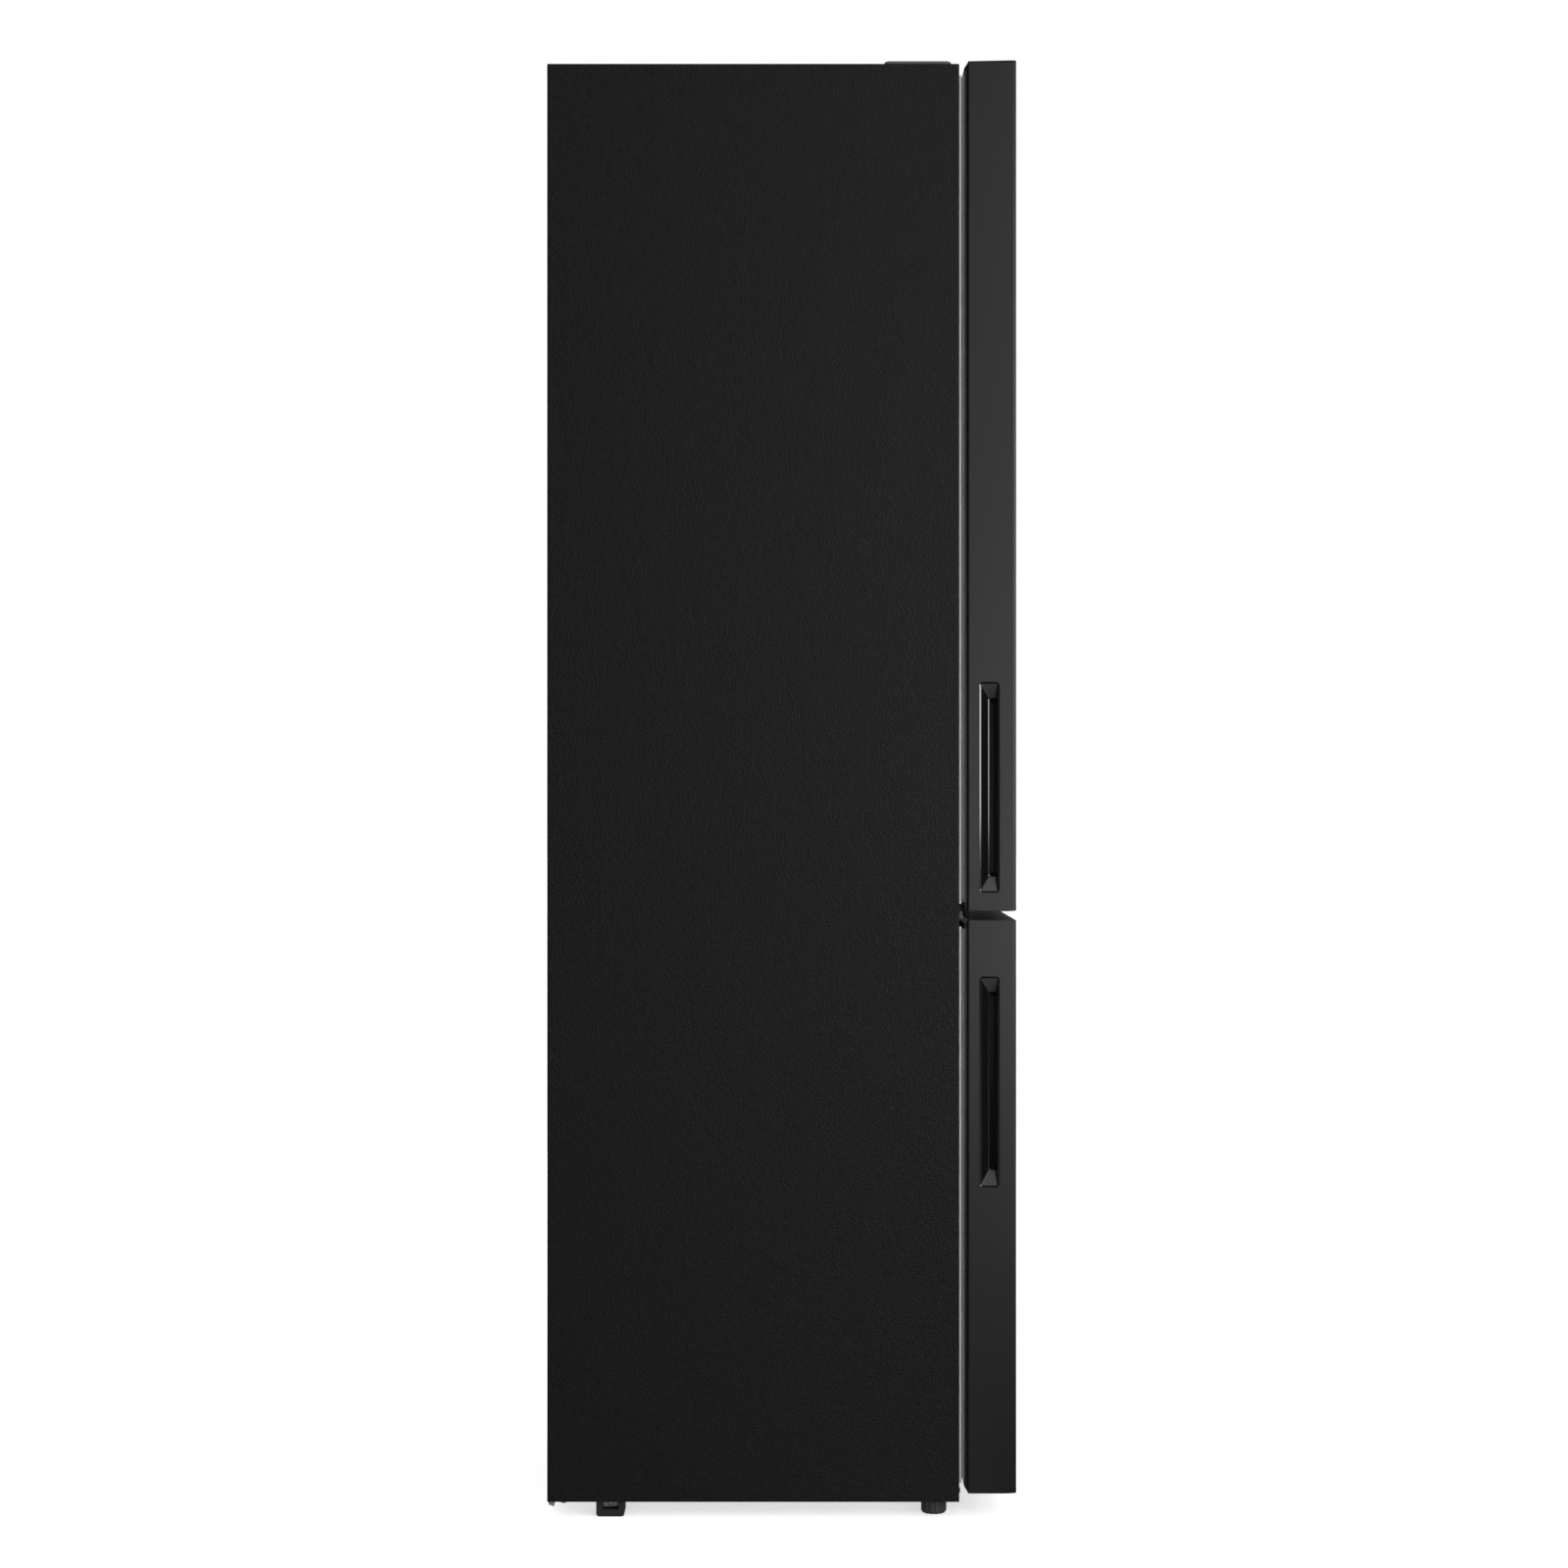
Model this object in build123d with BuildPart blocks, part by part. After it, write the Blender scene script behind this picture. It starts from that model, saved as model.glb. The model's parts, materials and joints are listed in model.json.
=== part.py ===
from build123d import *
import os

# Free-standing refrigerator with a freezer below. Front faces -Y, the grips are on the -X side, hinges on +X.
os.makedirs("parts", exist_ok=True)

# Overall sizes in millimetres
WIDTH = 595.0
CABINET_DEPTH = 566.5
SEAL_GAP = 12.0
DOOR_DEPTH = 66.5
CABINET_BOTTOM = 22.0
CABINET_TOP = 1998.0
DOOR_TOP = CABINET_TOP + 5.0
FRIDGE_DOOR_BOTTOM = 833.5
FREEZER_DOOR_TOP = 822.0
FREEZER_DOOR_BOTTOM = 33.5

# Wall thicknesses
SHEET = 1.0
LINER = 2.0
GLASS = 4.0
TUB_WALL = 2.4

# Planes that the pieces share
HALF = WIDTH / 2
DEPTH = CABINET_DEPTH + SEAL_GAP + DOOR_DEPTH
BACK = DEPTH / 2
CAB_FRONT = BACK - CABINET_DEPTH
DOOR_REAR = CAB_FRONT - SEAL_GAP
DOOR_FRONT = DOOR_REAR - DOOR_DEPTH

# Cabinet folds and compartments
FLANGE = 44.0
REAR_FLANGE = 14.0
BEND = 2.0
SIDE_WALL = 50.5
INNER_HALF = HALF - SIDE_WALL
LIP = 16.0
LINER_R = 14.0
FRIDGE_FLOOR = FRIDGE_DOOR_BOTTOM + 34.5
FRIDGE_CEIL = CABINET_TOP - 45.0
FRIDGE_BACK = BACK - 55.0
FREEZER_FLOOR = CABINET_BOTTOM + 58.0
FREEZER_CEIL = FREEZER_DOOR_TOP - 34.0
FREEZER_BACK = BACK - 60.0
BAY_FRONT = BACK - 205.0
BAY_TOP = CABINET_BOTTOM + 218.0
STEP_Y = BAY_FRONT - 50.0
STEP_Z = BAY_TOP + 52.0
LIP_Y = CAB_FRONT + SHEET

# Door section
EDGE_R = 4.0
HEM_IN = 8.0
NECK = 4.0
HEM_OUT = 5.0
HEM_Y = DOOR_REAR + NECK + SHEET
CAP_LIP = 1.5
CAP_DEPTH = 15.0
CAP_WALL = 2.5
CAP_STEP = 12.0
TOP_DROP = 1.3
DYKE_HALF = INNER_HALF - 12.0
DYKE_WIDTH = 27.0
FRIDGE_DYKE = 42.0
FREEZER_DYKE = 20.0
SEAL_INSET = 13.0
SEAL_WIDTH = 22.0
SEAL_PLAY = 0.3

# Side grips
GRIP_REAR = DOOR_REAR - 18.0
GRIP_FRONT = GRIP_REAR - 23.0
GRIP_LENGTH = 284.4
GRIP_RAMP = 19.0
GRIP_STEP = 12.0
GRIP_DEPTH = 26.0
GRIP_WALL = 2.8
GRIP_CORNER = 3.0
RIM_WIDTH = GRIP_WALL - 0.4
RIM_DEPTH = 0.9
SLOT_FRONT = GRIP_FRONT + 1.8
SLOT_REAR = SLOT_FRONT + 8.4
SLOT_LENGTH = GRIP_LENGTH - 2 * GRIP_RAMP
SLOT_DRAFT = 0.5
SLOT_END = 6.0
FRIDGE_GRIP = FRIDGE_DOOR_BOTTOM + 28.3
FREEZER_GRIP = FREEZER_DOOR_TOP - 80.6 - GRIP_LENGTH

# Hinges
HINGE_X = HALF - 16.0
HINGE_Y = DOOR_REAR - 28.0
PIN_R = 5.0
PIN_PLAY = 0.08
PIN_REACH = 13.0
PLATE = 3.5
BOSS_R = 9.0
ARM_Z = DOOR_TOP + 0.8
MID_Z = (FRIDGE_DOOR_BOTTOM + FREEZER_DOOR_TOP - PLATE) / 2
LOW_Z = FREEZER_DOOR_BOTTOM - 8.5
COVER_REAR = CAB_FRONT + 102.0
COVER_FRONT = CAB_FRONT + 9.0
COVER_INSET = 34.0
COVER_WIDTH = 112.0
COVER_HEIGHT = 12.0

# Feet
FOOT_X = HALF - 38.0
FOOT_Y = CAB_FRONT + 33.5
FOOT_R = 17.6
STUD_R = 5.0
REAR_FOOT_Y = BACK - 86.5
REAR_FOOT_X = HALF - 8.0

# Inside heights
FRIDGE_HEIGHT = FRIDGE_CEIL - FRIDGE_FLOOR
SHELF_Z = [FRIDGE_FLOOR + share * FRIDGE_HEIGHT for share in (0.336, 0.539, 0.751)]
CRISPER_TOP = FRIDGE_FLOOR + 200.0
SHELF_FRONT = CAB_FRONT + 100.0
DUCT = 24.0
DUCT_SLOT_RISE = 0.096 * FRIDGE_HEIGHT
SHELF_REAR = FRIDGE_BACK - DUCT - 3.0
LEDGE = 10.0
FREEZER_SHELF_Z = [STEP_Z + 12.0, STEP_Z + 250.0]
COIL_COVER_Y = FREEZER_BACK - 75.0
DRAWER_FRONT = CAB_FRONT + FREEZER_DYKE + 12.0
PULL_LENGTH = 150.0
PULL_HEIGHT = 22.0
PULL_RIM = 5.0
BIN_Z = [FRIDGE_FLOOR + share * FRIDGE_HEIGHT for share in (0.0535, 0.392, 0.714)]
BIN_HEIGHT = [112.0, 84.0, 76.0]
BIN_DEPTH = 92.0
BIN_HOOK = 45.0
FAN_Z = FREEZER_CEIL - 140.0
FAN_R = 54.0
KNOB_R = 17.0


def plan(z):
    return Plane.XY.offset(z)


def front(y):
    return Plane.XZ.offset(-y)


def side(x):
    return Plane.YZ.offset(x)


def block(x, y, z, mode=Mode.ADD):
    with Locations(((x[0] + x[1]) / 2, (y[0] + y[1]) / 2, (z[0] + z[1]) / 2)):
        Box(x[1] - x[0], y[1] - y[0], z[1] - z[0], mode=mode)


def folded(points, radii, thickness, edge):
    with BuildLine() as outline:
        FilletPolyline(*points, radius=radii)
        offset(amount=thickness, side=edge)
    make_face(outline.edges())


def upright(x, y, r, z0, z1, mode=Mode.ADD):
    with BuildSketch(plan(z0)) as disc:
        with Locations((x, y)):
            Circle(r)
    extrude(disc.sketch, amount=z1 - z0, mode=mode)


def save(piece, name):
    piece.part.label = name
    export_step(piece.part, "parts/" + name + ".step")


# Cabinet side sheets, folded at the front and at the rear
with BuildPart() as side_panel_left:
    with BuildSketch(plan(CABINET_BOTTOM)):
        folded(
            [(-HALF + FLANGE, CAB_FRONT), (-HALF, CAB_FRONT), (-HALF, BACK), (-HALF + REAR_FLANGE, BACK)],
            [BEND, BEND], SHEET, Side.RIGHT,
        )
    extrude(amount=CABINET_TOP - CABINET_BOTTOM)
    inner = (-HALF + SHEET, -HALF + FLANGE + 1)
    block(inner, (CAB_FRONT - 1, CAB_FRONT + BEND), (CABINET_TOP - FLANGE, CABINET_TOP + 1), Mode.SUBTRACT)
    block(inner, (BACK - BEND, BACK + 1), (CABINET_TOP - REAR_FLANGE, CABINET_TOP + 1), Mode.SUBTRACT)
save(side_panel_left, "side_panel_left")

with BuildPart() as side_panel_right:
    add(mirror(side_panel_left.part, about=Plane.YZ))
save(side_panel_right, "side_panel_right")

# Top sheet between the sides
with BuildPart() as top_panel:
    with BuildSketch(side(-HALF + SHEET)):
        folded(
            [(CAB_FRONT, CABINET_TOP - FLANGE), (CAB_FRONT, CABINET_TOP),
             (BACK, CABINET_TOP), (BACK, CABINET_TOP - REAR_FLANGE)],
            [BEND, BEND], SHEET, Side.RIGHT,
        )
    extrude(amount=WIDTH - 2 * SHEET)
save(top_panel, "top_panel")

# Back sheet with two pressed stiffening ribs
with BuildPart() as back_panel:
    outer_y = BACK - SHEET
    rib_z = (BAY_TOP + CABINET_TOP) / 2
    rib_length = CABINET_TOP - BAY_TOP - 260
    block((-HALF + BEND, HALF - BEND), (outer_y - SHEET, outer_y), (BAY_TOP, CABINET_TOP - BEND))
    with BuildSketch(front(outer_y)):
        with Locations((-140, rib_z), (140, rib_z)):
            SlotOverall(rib_length, 60, rotation=90)
    extrude(amount=4 + SHEET)
    with BuildSketch(front(outer_y)):
        with Locations((-140, rib_z), (140, rib_z)):
            SlotOverall(rib_length - 2 * SHEET, 60 - 2 * SHEET, rotation=90)
    extrude(amount=4, mode=Mode.SUBTRACT)
save(back_panel, "back_panel")

# Underside sheet that steps up over the machine bay
with BuildPart() as bay_panel:
    with BuildSketch(side(-HALF + SHEET)):
        with BuildLine():
            Polyline(
                (CAB_FRONT + 62, CABINET_BOTTOM), (BAY_FRONT, CABINET_BOTTOM),
                (BAY_FRONT, BAY_TOP), (BACK - 2 * SHEET, BAY_TOP),
            )
            offset(amount=SHEET, side=Side.LEFT, kind=Kind.INTERSECTION)
        make_face()
    extrude(amount=WIDTH - 2 * SHEET)
save(bay_panel, "bay_panel")

# Front cross member with the nuts of the levelling feet
with BuildPart() as front_base_rail:
    with BuildSketch(side(-HALF + SHEET)):
        folded(
            [(CAB_FRONT, FREEZER_FLOOR - 8), (CAB_FRONT, CABINET_BOTTOM), (CAB_FRONT + 62, CABINET_BOTTOM)],
            [BEND], SHEET, Side.LEFT,
        )
    extrude(amount=WIDTH - 2 * SHEET)
    for sx in (-1, 1):
        ends = sorted((sx * (HALF - FLANGE), sx * HALF))
        block(ends, (CAB_FRONT - 1, CAB_FRONT + BEND), (CABINET_BOTTOM - 1, FREEZER_FLOOR), Mode.SUBTRACT)
        with BuildSketch(plan(CABINET_BOTTOM + SHEET)):
            with Locations((sx * FOOT_X, FOOT_Y)):
                RegularPolygon(9.5, 6)
        extrude(amount=9)
        upright(sx * FOOT_X, FOOT_Y, STUD_R + PIN_PLAY, CABINET_BOTTOM - 1, CABINET_BOTTOM + 20, Mode.SUBTRACT)
save(front_base_rail, "front_base_rail")

# Steel rail between the two compartments, the seat of both seals
with BuildPart() as centre_rail:
    with BuildSketch(side(-HALF + FLANGE)):
        folded(
            [(CAB_FRONT + 18, FREEZER_CEIL + LINER), (CAB_FRONT, FREEZER_CEIL + LINER),
             (CAB_FRONT, FRIDGE_FLOOR - LINER), (CAB_FRONT + 18, FRIDGE_FLOOR - LINER)],
            [BEND, BEND], SHEET, Side.RIGHT,
        )
    extrude(amount=WIDTH - 2 * FLANGE)
save(centre_rail, "centre_rail")

# Floor of the machine bay, with two rear tabs and the tabs that hold the rear feet
with BuildPart() as base_plate:
    with BuildSketch(side(-HALF + SHEET)):
        folded(
            [(BAY_FRONT, CABINET_BOTTOM + 16), (BAY_FRONT, CABINET_BOTTOM), (BACK - BEND, CABINET_BOTTOM)],
            [3.0], 1.5, Side.LEFT,
        )
    extrude(amount=WIDTH - 2 * SHEET)
    for sx in (-1, 1):
        with BuildSketch(side(sx * (HALF - 14) - 10)):
            with BuildLine():
                Polyline(
                    (BACK - 1.5, CABINET_BOTTOM + 1), (BACK - 9.5, CABINET_BOTTOM + 1),
                    (BACK - 9.2, CABINET_BOTTOM - 7), (BACK - 2.2, CABINET_BOTTOM - 4.5), close=True,
                )
            make_face()
        extrude(amount=20)
        tab_x = sorted((sx * (REAR_FOOT_X - 12), sx * (REAR_FOOT_X - 13.5)))
        block(tab_x, (REAR_FOOT_Y - 10, REAR_FOOT_Y + 10), (CABINET_BOTTOM - 10, CABINET_BOTTOM + 1))
save(base_plate, "base_plate")


# Rounded hollow of the fridge compartment, grown outward by the given amount
def fridge_space(grow):
    with BuildPart() as space:
        block(
            (-INNER_HALF - grow, INNER_HALF + grow), (LIP_Y, FRIDGE_BACK + grow),
            (FRIDGE_FLOOR - grow, FRIDGE_CEIL + grow),
        )
        rounded = [e for e in space.edges() if e.center().Y > LIP_Y + 1]
        fillet(rounded, radius=LINER_R + grow)
    return space.part


# Rounded hollow of the freezer compartment with its step over the machine bay
def freezer_space(grow):
    with BuildPart() as space:
        with BuildSketch(side(-INNER_HALF - grow)) as section:
            with BuildLine():
                Polyline(
                    (LIP_Y, FREEZER_FLOOR - grow), (STEP_Y + grow, FREEZER_FLOOR - grow),
                    (STEP_Y + grow, STEP_Z - grow), (FREEZER_BACK + grow, STEP_Z - grow),
                    (FREEZER_BACK + grow, FREEZER_CEIL + grow), (LIP_Y, FREEZER_CEIL + grow), close=True,
                )
            make_face()
            inside = [v for v in section.vertices() if v.X > LIP_Y + 1]
            convex = [v for v in inside if abs(v.X - STEP_Y - grow) > 1 or v.Y < STEP_Z - grow - 1]
            fillet(convex, radius=LINER_R + grow)
            edge = [v for v in section.vertices() if abs(v.X - STEP_Y - grow) < 0.1]
            corner = [v for v in edge if v.Y > STEP_Z - grow - 0.1]
            fillet(corner, radius=LINER_R)
        extrude(amount=2 * (INNER_HALF + grow))
        end_edges = [e for f in space.faces().filter_by(Axis.X) for e in f.edges()]
        fillet([e for e in end_edges if e.center().Y > LIP_Y + 0.1], radius=10.0)
    return space.part


# White thermoformed compartment liners with shelf ledges
with BuildPart() as fridge_liner:
    add(fridge_space(LINER))
    block(
        (-INNER_HALF - LIP, INNER_HALF + LIP), (LIP_Y, LIP_Y + LINER),
        (FRIDGE_FLOOR - LINER, FRIDGE_CEIL + LIP),
    )
    add(fridge_space(0), mode=Mode.SUBTRACT)
    for z in SHELF_Z + [CRISPER_TOP]:
        for sx in (-1, 1):
            with BuildSketch(side(sx * INNER_HALF)):
                with Locations(((SHELF_FRONT + SHELF_REAR) / 2, z - 7)):
                    SlotOverall(SHELF_REAR - SHELF_FRONT - 30, 14)
            extrude(amount=-sx * LEDGE)
save(fridge_liner, "fridge_liner")

with BuildPart() as freezer_liner:
    add(freezer_space(LINER))
    block(
        (-INNER_HALF - LIP, INNER_HALF + LIP), (LIP_Y, LIP_Y + LINER),
        (FREEZER_FLOOR - LIP, FREEZER_CEIL + LINER),
    )
    add(freezer_space(0), mode=Mode.SUBTRACT)
    for z in FREEZER_SHELF_Z:
        for sx in (-1, 1):
            with BuildSketch(side(sx * INNER_HALF)):
                with Locations(((DRAWER_FRONT + COIL_COVER_Y) / 2, z - 6)):
                    SlotOverall(COIL_COVER_Y - DRAWER_FRONT - 30, 12)
            extrude(amount=-sx * LEDGE)
save(freezer_liner, "freezer_liner")

# Foamed insulation between sheets and liners: a slab in each side wall, and the core round both compartments
SLAB_X = INNER_HALF + LINER


def insulation(x):
    with BuildPart() as foam:
        block(x, (LIP_Y, BACK - 2 * SHEET), (CABINET_BOTTOM + SHEET, CABINET_TOP - SHEET))
        block((-HALF, HALF), (BAY_FRONT - SHEET, BACK), (0, BAY_TOP + SHEET), Mode.SUBTRACT)
        wide = (-SLAB_X, SLAB_X)
        fridge_y = (LIP_Y, FRIDGE_BACK + LINER)
        freezer_y = (LIP_Y, FREEZER_BACK + LINER)
        block(wide, fridge_y, (FRIDGE_FLOOR - LINER, FRIDGE_CEIL + LINER), Mode.SUBTRACT)
        block(wide, freezer_y, (STEP_Z - LINER, FREEZER_CEIL + LINER), Mode.SUBTRACT)
        block(wide, (LIP_Y, STEP_Y + LINER), (FREEZER_FLOOR - LINER, FREEZER_CEIL), Mode.SUBTRACT)
        add(freezer_space(LINER), mode=Mode.SUBTRACT)
        add(fridge_liner.part, mode=Mode.SUBTRACT)
        add(freezer_liner.part, mode=Mode.SUBTRACT)
        add(centre_rail.part, mode=Mode.SUBTRACT)
        for z in (FREEZER_CEIL + LINER, FRIDGE_FLOOR - LINER - SHEET):
            block((-HALF + FLANGE, HALF - FLANGE), (LIP_Y, LIP_Y + SHEET), (z, z + SHEET), Mode.SUBTRACT)
        add(front_base_rail.part, mode=Mode.SUBTRACT)
        with BuildSketch(front(outer_y)) as ribs:
            with Locations((-140, rib_z), (140, rib_z)):
                SlotOverall(rib_length, 60, rotation=90)
        extrude(ribs.sketch, amount=4 + SHEET, mode=Mode.SUBTRACT)
        add(side_panel_left.part, mode=Mode.SUBTRACT)
        add(side_panel_right.part, mode=Mode.SUBTRACT)
        add(top_panel.part, mode=Mode.SUBTRACT)
        for sx in (-1, 1):
            upright(sx * FOOT_X, FOOT_Y, STUD_R + 1, CABINET_BOTTOM, CABINET_BOTTOM + 17, Mode.SUBTRACT)
    return foam


save(insulation((-HALF + SHEET, -SLAB_X)), "side_insulation_left")
save(insulation((SLAB_X, HALF - SHEET)), "side_insulation_right")
save(insulation((-SLAB_X, SLAB_X)), "core_insulation")

# Air duct on the back wall of the fridge compartment, with outlet slots
with BuildPart() as air_duct:
    duct_y = FRIDGE_BACK - DUCT
    duct_z = (CRISPER_TOP + 40, FRIDGE_CEIL - 70)
    block((-105, 105), (duct_y, FRIDGE_BACK), duct_z)
    fillet(air_duct.edges().filter_by(Axis.Z).sort_by(Axis.Y)[:2], radius=10)
    block((-102.5, 102.5), (duct_y + 2.5, FRIDGE_BACK + 1), (duct_z[0] + 2.5, duct_z[1] - 2.5), Mode.SUBTRACT)
    with BuildSketch(front(duct_y + 3)):
        for z in SHELF_Z:
            with Locations((0, z + DUCT_SLOT_RISE)):
                with GridLocations(110, 14, 2, 3):
                    SlotOverall(64, 6)
    extrude(amount=4, mode=Mode.SUBTRACT)
save(air_duct, "air_duct")

# Control box under the fridge ceiling, with a window for the lamp and a bore for the knob
LAMP = (-20.0, 100.0)
KNOB_X = -75.0
BOX_Y = (SHELF_FRONT + 6, SHELF_FRONT + 118)
KNOB_Y = BOX_Y[0] + 52
BOX_Z = FRIDGE_CEIL - 30
with BuildPart() as control_box:
    with BuildSketch(side(-125)):
        with BuildLine():
            Polyline(
                (BOX_Y[0] + 26, BOX_Z), (BOX_Y[1], BOX_Z), (BOX_Y[1], FRIDGE_CEIL), (BOX_Y[0], FRIDGE_CEIL),
                (BOX_Y[0], BOX_Z + 18), close=True,
            )
        make_face()
    extrude(amount=250)
    block((-122.5, 122.5), (BOX_Y[0] + 27, BOX_Y[1] - 2.5), (BOX_Z + 2.5, FRIDGE_CEIL + 1), Mode.SUBTRACT)
    block(LAMP, (BOX_Y[0] + 36, BOX_Y[1] - 12), (BOX_Z - 1, BOX_Z + 3), Mode.SUBTRACT)
    upright(KNOB_X, KNOB_Y, 3 + PIN_PLAY, BOX_Z - 1, BOX_Z + 3, Mode.SUBTRACT)
save(control_box, "control_box")

with BuildPart() as lamp_lens:
    block(LAMP, (BOX_Y[0] + 36, BOX_Y[1] - 12), (BOX_Z - 1.5, BOX_Z + 2.5))
    fillet(lamp_lens.faces().sort_by(Axis.Z)[0].edges(), radius=1.2)
save(lamp_lens, "lamp_lens")

with BuildPart() as temperature_knob:
    upright(KNOB_X, KNOB_Y, KNOB_R, BOX_Z - 5, BOX_Z - 0.4)
    with BuildSketch(plan(BOX_Z - 15)):
        with Locations((KNOB_X, KNOB_Y)):
            SlotOverall(2 * KNOB_R - 4, 8)
    extrude(amount=10.5)
    upright(KNOB_X, KNOB_Y, 3, BOX_Z - 0.5, BOX_Z + 8)
save(temperature_knob, "temperature_knob")

# Glass shelves and the crisper cover, and the trims on their front and rear edges
TRIM_HALF = INNER_HALF - 1.5


def edge_trim(y, z, out):
    with BuildSketch(side(-TRIM_HALF)) as section:
        with BuildLine():
            Polyline(
                (y, z), (y, z + GLASS), (y + out * -8, z + GLASS), (y + out * -8, z + GLASS + 2),
                (y + out * 5, z + GLASS + 2), (y + out * 5, z - 10),
                (y + out * 2.6, z - 10), (y + out * 2.6, z),
                close=True,
            )
        make_face()
    extrude(section.sketch, amount=2 * TRIM_HALF)


with BuildPart() as fridge_shelves:
    for z in SHELF_Z:
        block((-TRIM_HALF, TRIM_HALF), (SHELF_FRONT + 5, SHELF_REAR - 5), (z, z + GLASS))
save(fridge_shelves, "fridge_shelves")

with BuildPart() as crisper_cover:
    block((-TRIM_HALF, TRIM_HALF), (SHELF_FRONT + 5, SHELF_REAR - 5), (CRISPER_TOP, CRISPER_TOP + GLASS))
save(crisper_cover, "crisper_cover")

with BuildPart() as shelf_trims:
    for z in SHELF_Z + [CRISPER_TOP]:
        edge_trim(SHELF_FRONT + 5, z, -1)
        edge_trim(SHELF_REAR - 5, z, 1)
save(shelf_trims, "shelf_trims")


# Open tub with a draft, a rounded outline and a turned-out rim
def tub(x, y, z, height, rim):
    draft = -2.5
    centre = ((x[0] + x[1]) / 2, (y[0] + y[1]) / 2)
    spread = height * 0.0437
    size = (x[1] - x[0] - 2 * spread, y[1] - y[0] - 2 * spread)
    with BuildSketch(plan(z)) as body:
        with Locations(centre):
            RectangleRounded(size[0], size[1], 10)
    extrude(body.sketch, amount=height, taper=draft)
    with BuildSketch(plan(z + height - 3)) as edge:
        with Locations(centre):
            RectangleRounded(x[1] - x[0] + 2 * rim, y[1] - y[0] + 2 * rim, 12)
    extrude(edge.sketch, amount=3)
    with BuildSketch(plan(z + TUB_WALL)) as hollow:
        with Locations(centre):
            RectangleRounded(size[0] - 2 * TUB_WALL + 0.2, size[1] - 2 * TUB_WALL + 0.2, 8)
    extrude(hollow.sketch, amount=height, taper=draft, mode=Mode.SUBTRACT)


# Vegetable drawers side by side under the crisper cover
CRISPER_Y = (SHELF_FRONT + 14, SHELF_REAR - 12)
CRISPER_HEIGHT = CRISPER_TOP - FRIDGE_FLOOR - 14
for sx, name in ((-1, "crisper_left"), (1, "crisper_right")):
    crisper_x = sorted((sx * 6.0, sx * (INNER_HALF - 16)))
    with BuildPart() as crisper:
        tub(crisper_x, CRISPER_Y, FRIDGE_FLOOR, CRISPER_HEIGHT, 3)
        block(
            (crisper_x[0] + 40, crisper_x[1] - 40), (CRISPER_Y[0] - 12, CRISPER_Y[0] + 1),
            (FRIDGE_FLOOR + CRISPER_HEIGHT - 3, FRIDGE_FLOOR + CRISPER_HEIGHT),
        )
        block(
            (crisper_x[0] + 40, crisper_x[1] - 40), (CRISPER_Y[0] - 12, CRISPER_Y[0] - 9.6),
            (FRIDGE_FLOOR + CRISPER_HEIGHT - 22, FRIDGE_FLOOR + CRISPER_HEIGHT),
        )
    save(crisper, name)

# Freezer glass shelves, and three drawers with front panels
DRAWER_Z = [FREEZER_FLOOR, FREEZER_SHELF_Z[0] + GLASS, FREEZER_SHELF_Z[1] + GLASS]
DRAWER_TOP = [FREEZER_SHELF_Z[0] - 16, FREEZER_SHELF_Z[1] - 16, FREEZER_CEIL - 16]
DRAWER_REAR = [STEP_Y - 12, COIL_COVER_Y - 8, COIL_COVER_Y - 8]
DRAWER_HALF = INNER_HALF - LEDGE - 4
with BuildPart() as freezer_shelves:
    for z in FREEZER_SHELF_Z:
        block((-TRIM_HALF, TRIM_HALF), (DRAWER_FRONT + 2, COIL_COVER_Y - 2), (z, z + GLASS))
save(freezer_shelves, "freezer_shelves")

for i in range(3):
    height = DRAWER_TOP[i] - DRAWER_Z[i]
    with BuildPart() as drawer:
        tub(
            (-DRAWER_HALF, DRAWER_HALF), (DRAWER_FRONT + 22, DRAWER_REAR[i]), DRAWER_Z[i], height - 20, 3,
        )
        with BuildSketch(front(DRAWER_FRONT + 24)) as panel:
            with Locations((0, DRAWER_Z[i] + height / 2)):
                RectangleRounded(2 * DRAWER_HALF + 6, height, 6)
            with Locations((0, DRAWER_TOP[i] - PULL_HEIGHT)):
                SlotOverall(PULL_LENGTH, PULL_HEIGHT, mode=Mode.SUBTRACT)
        extrude(amount=4)
        with BuildSketch(front(DRAWER_FRONT + 20)):
            with Locations((0, DRAWER_TOP[i] - PULL_HEIGHT)):
                SlotOverall(PULL_LENGTH + 2 * PULL_RIM, PULL_HEIGHT + 2 * PULL_RIM)
                SlotOverall(PULL_LENGTH, PULL_HEIGHT, mode=Mode.SUBTRACT)
        extrude(amount=12)
    save(drawer, "freezer_drawer_" + str(i + 1))

# Cover in front of the cooling coil, with the fan opening and air slots
with BuildPart() as evaporator_cover:
    cover_z = (STEP_Z, FREEZER_CEIL)
    block((-INNER_HALF + 11, INNER_HALF - 11), (COIL_COVER_Y, COIL_COVER_Y + 3), cover_z)
    with BuildSketch(front(COIL_COVER_Y + 4)):
        with Locations((0, FAN_Z)):
            Circle(FAN_R + 4)
            for ring in (14, 28, 42):
                Circle(ring + 1.5, mode=Mode.SUBTRACT)
                Circle(ring - 1.5)
            Circle(12.5, mode=Mode.SUBTRACT)
            Rectangle(2 * FAN_R + 10, 3, mode=Mode.SUBTRACT)
            Rectangle(3, 2 * FAN_R + 10, mode=Mode.SUBTRACT)
    extrude(amount=6, mode=Mode.SUBTRACT)
    with BuildSketch(front(COIL_COVER_Y + 4)):
        with GridLocations(150, 14, 3, 3):
            with Locations((0, STEP_Z + 45)):
                SlotOverall(110, 6)
    extrude(amount=6, mode=Mode.SUBTRACT)
save(evaporator_cover, "evaporator_cover")

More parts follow.
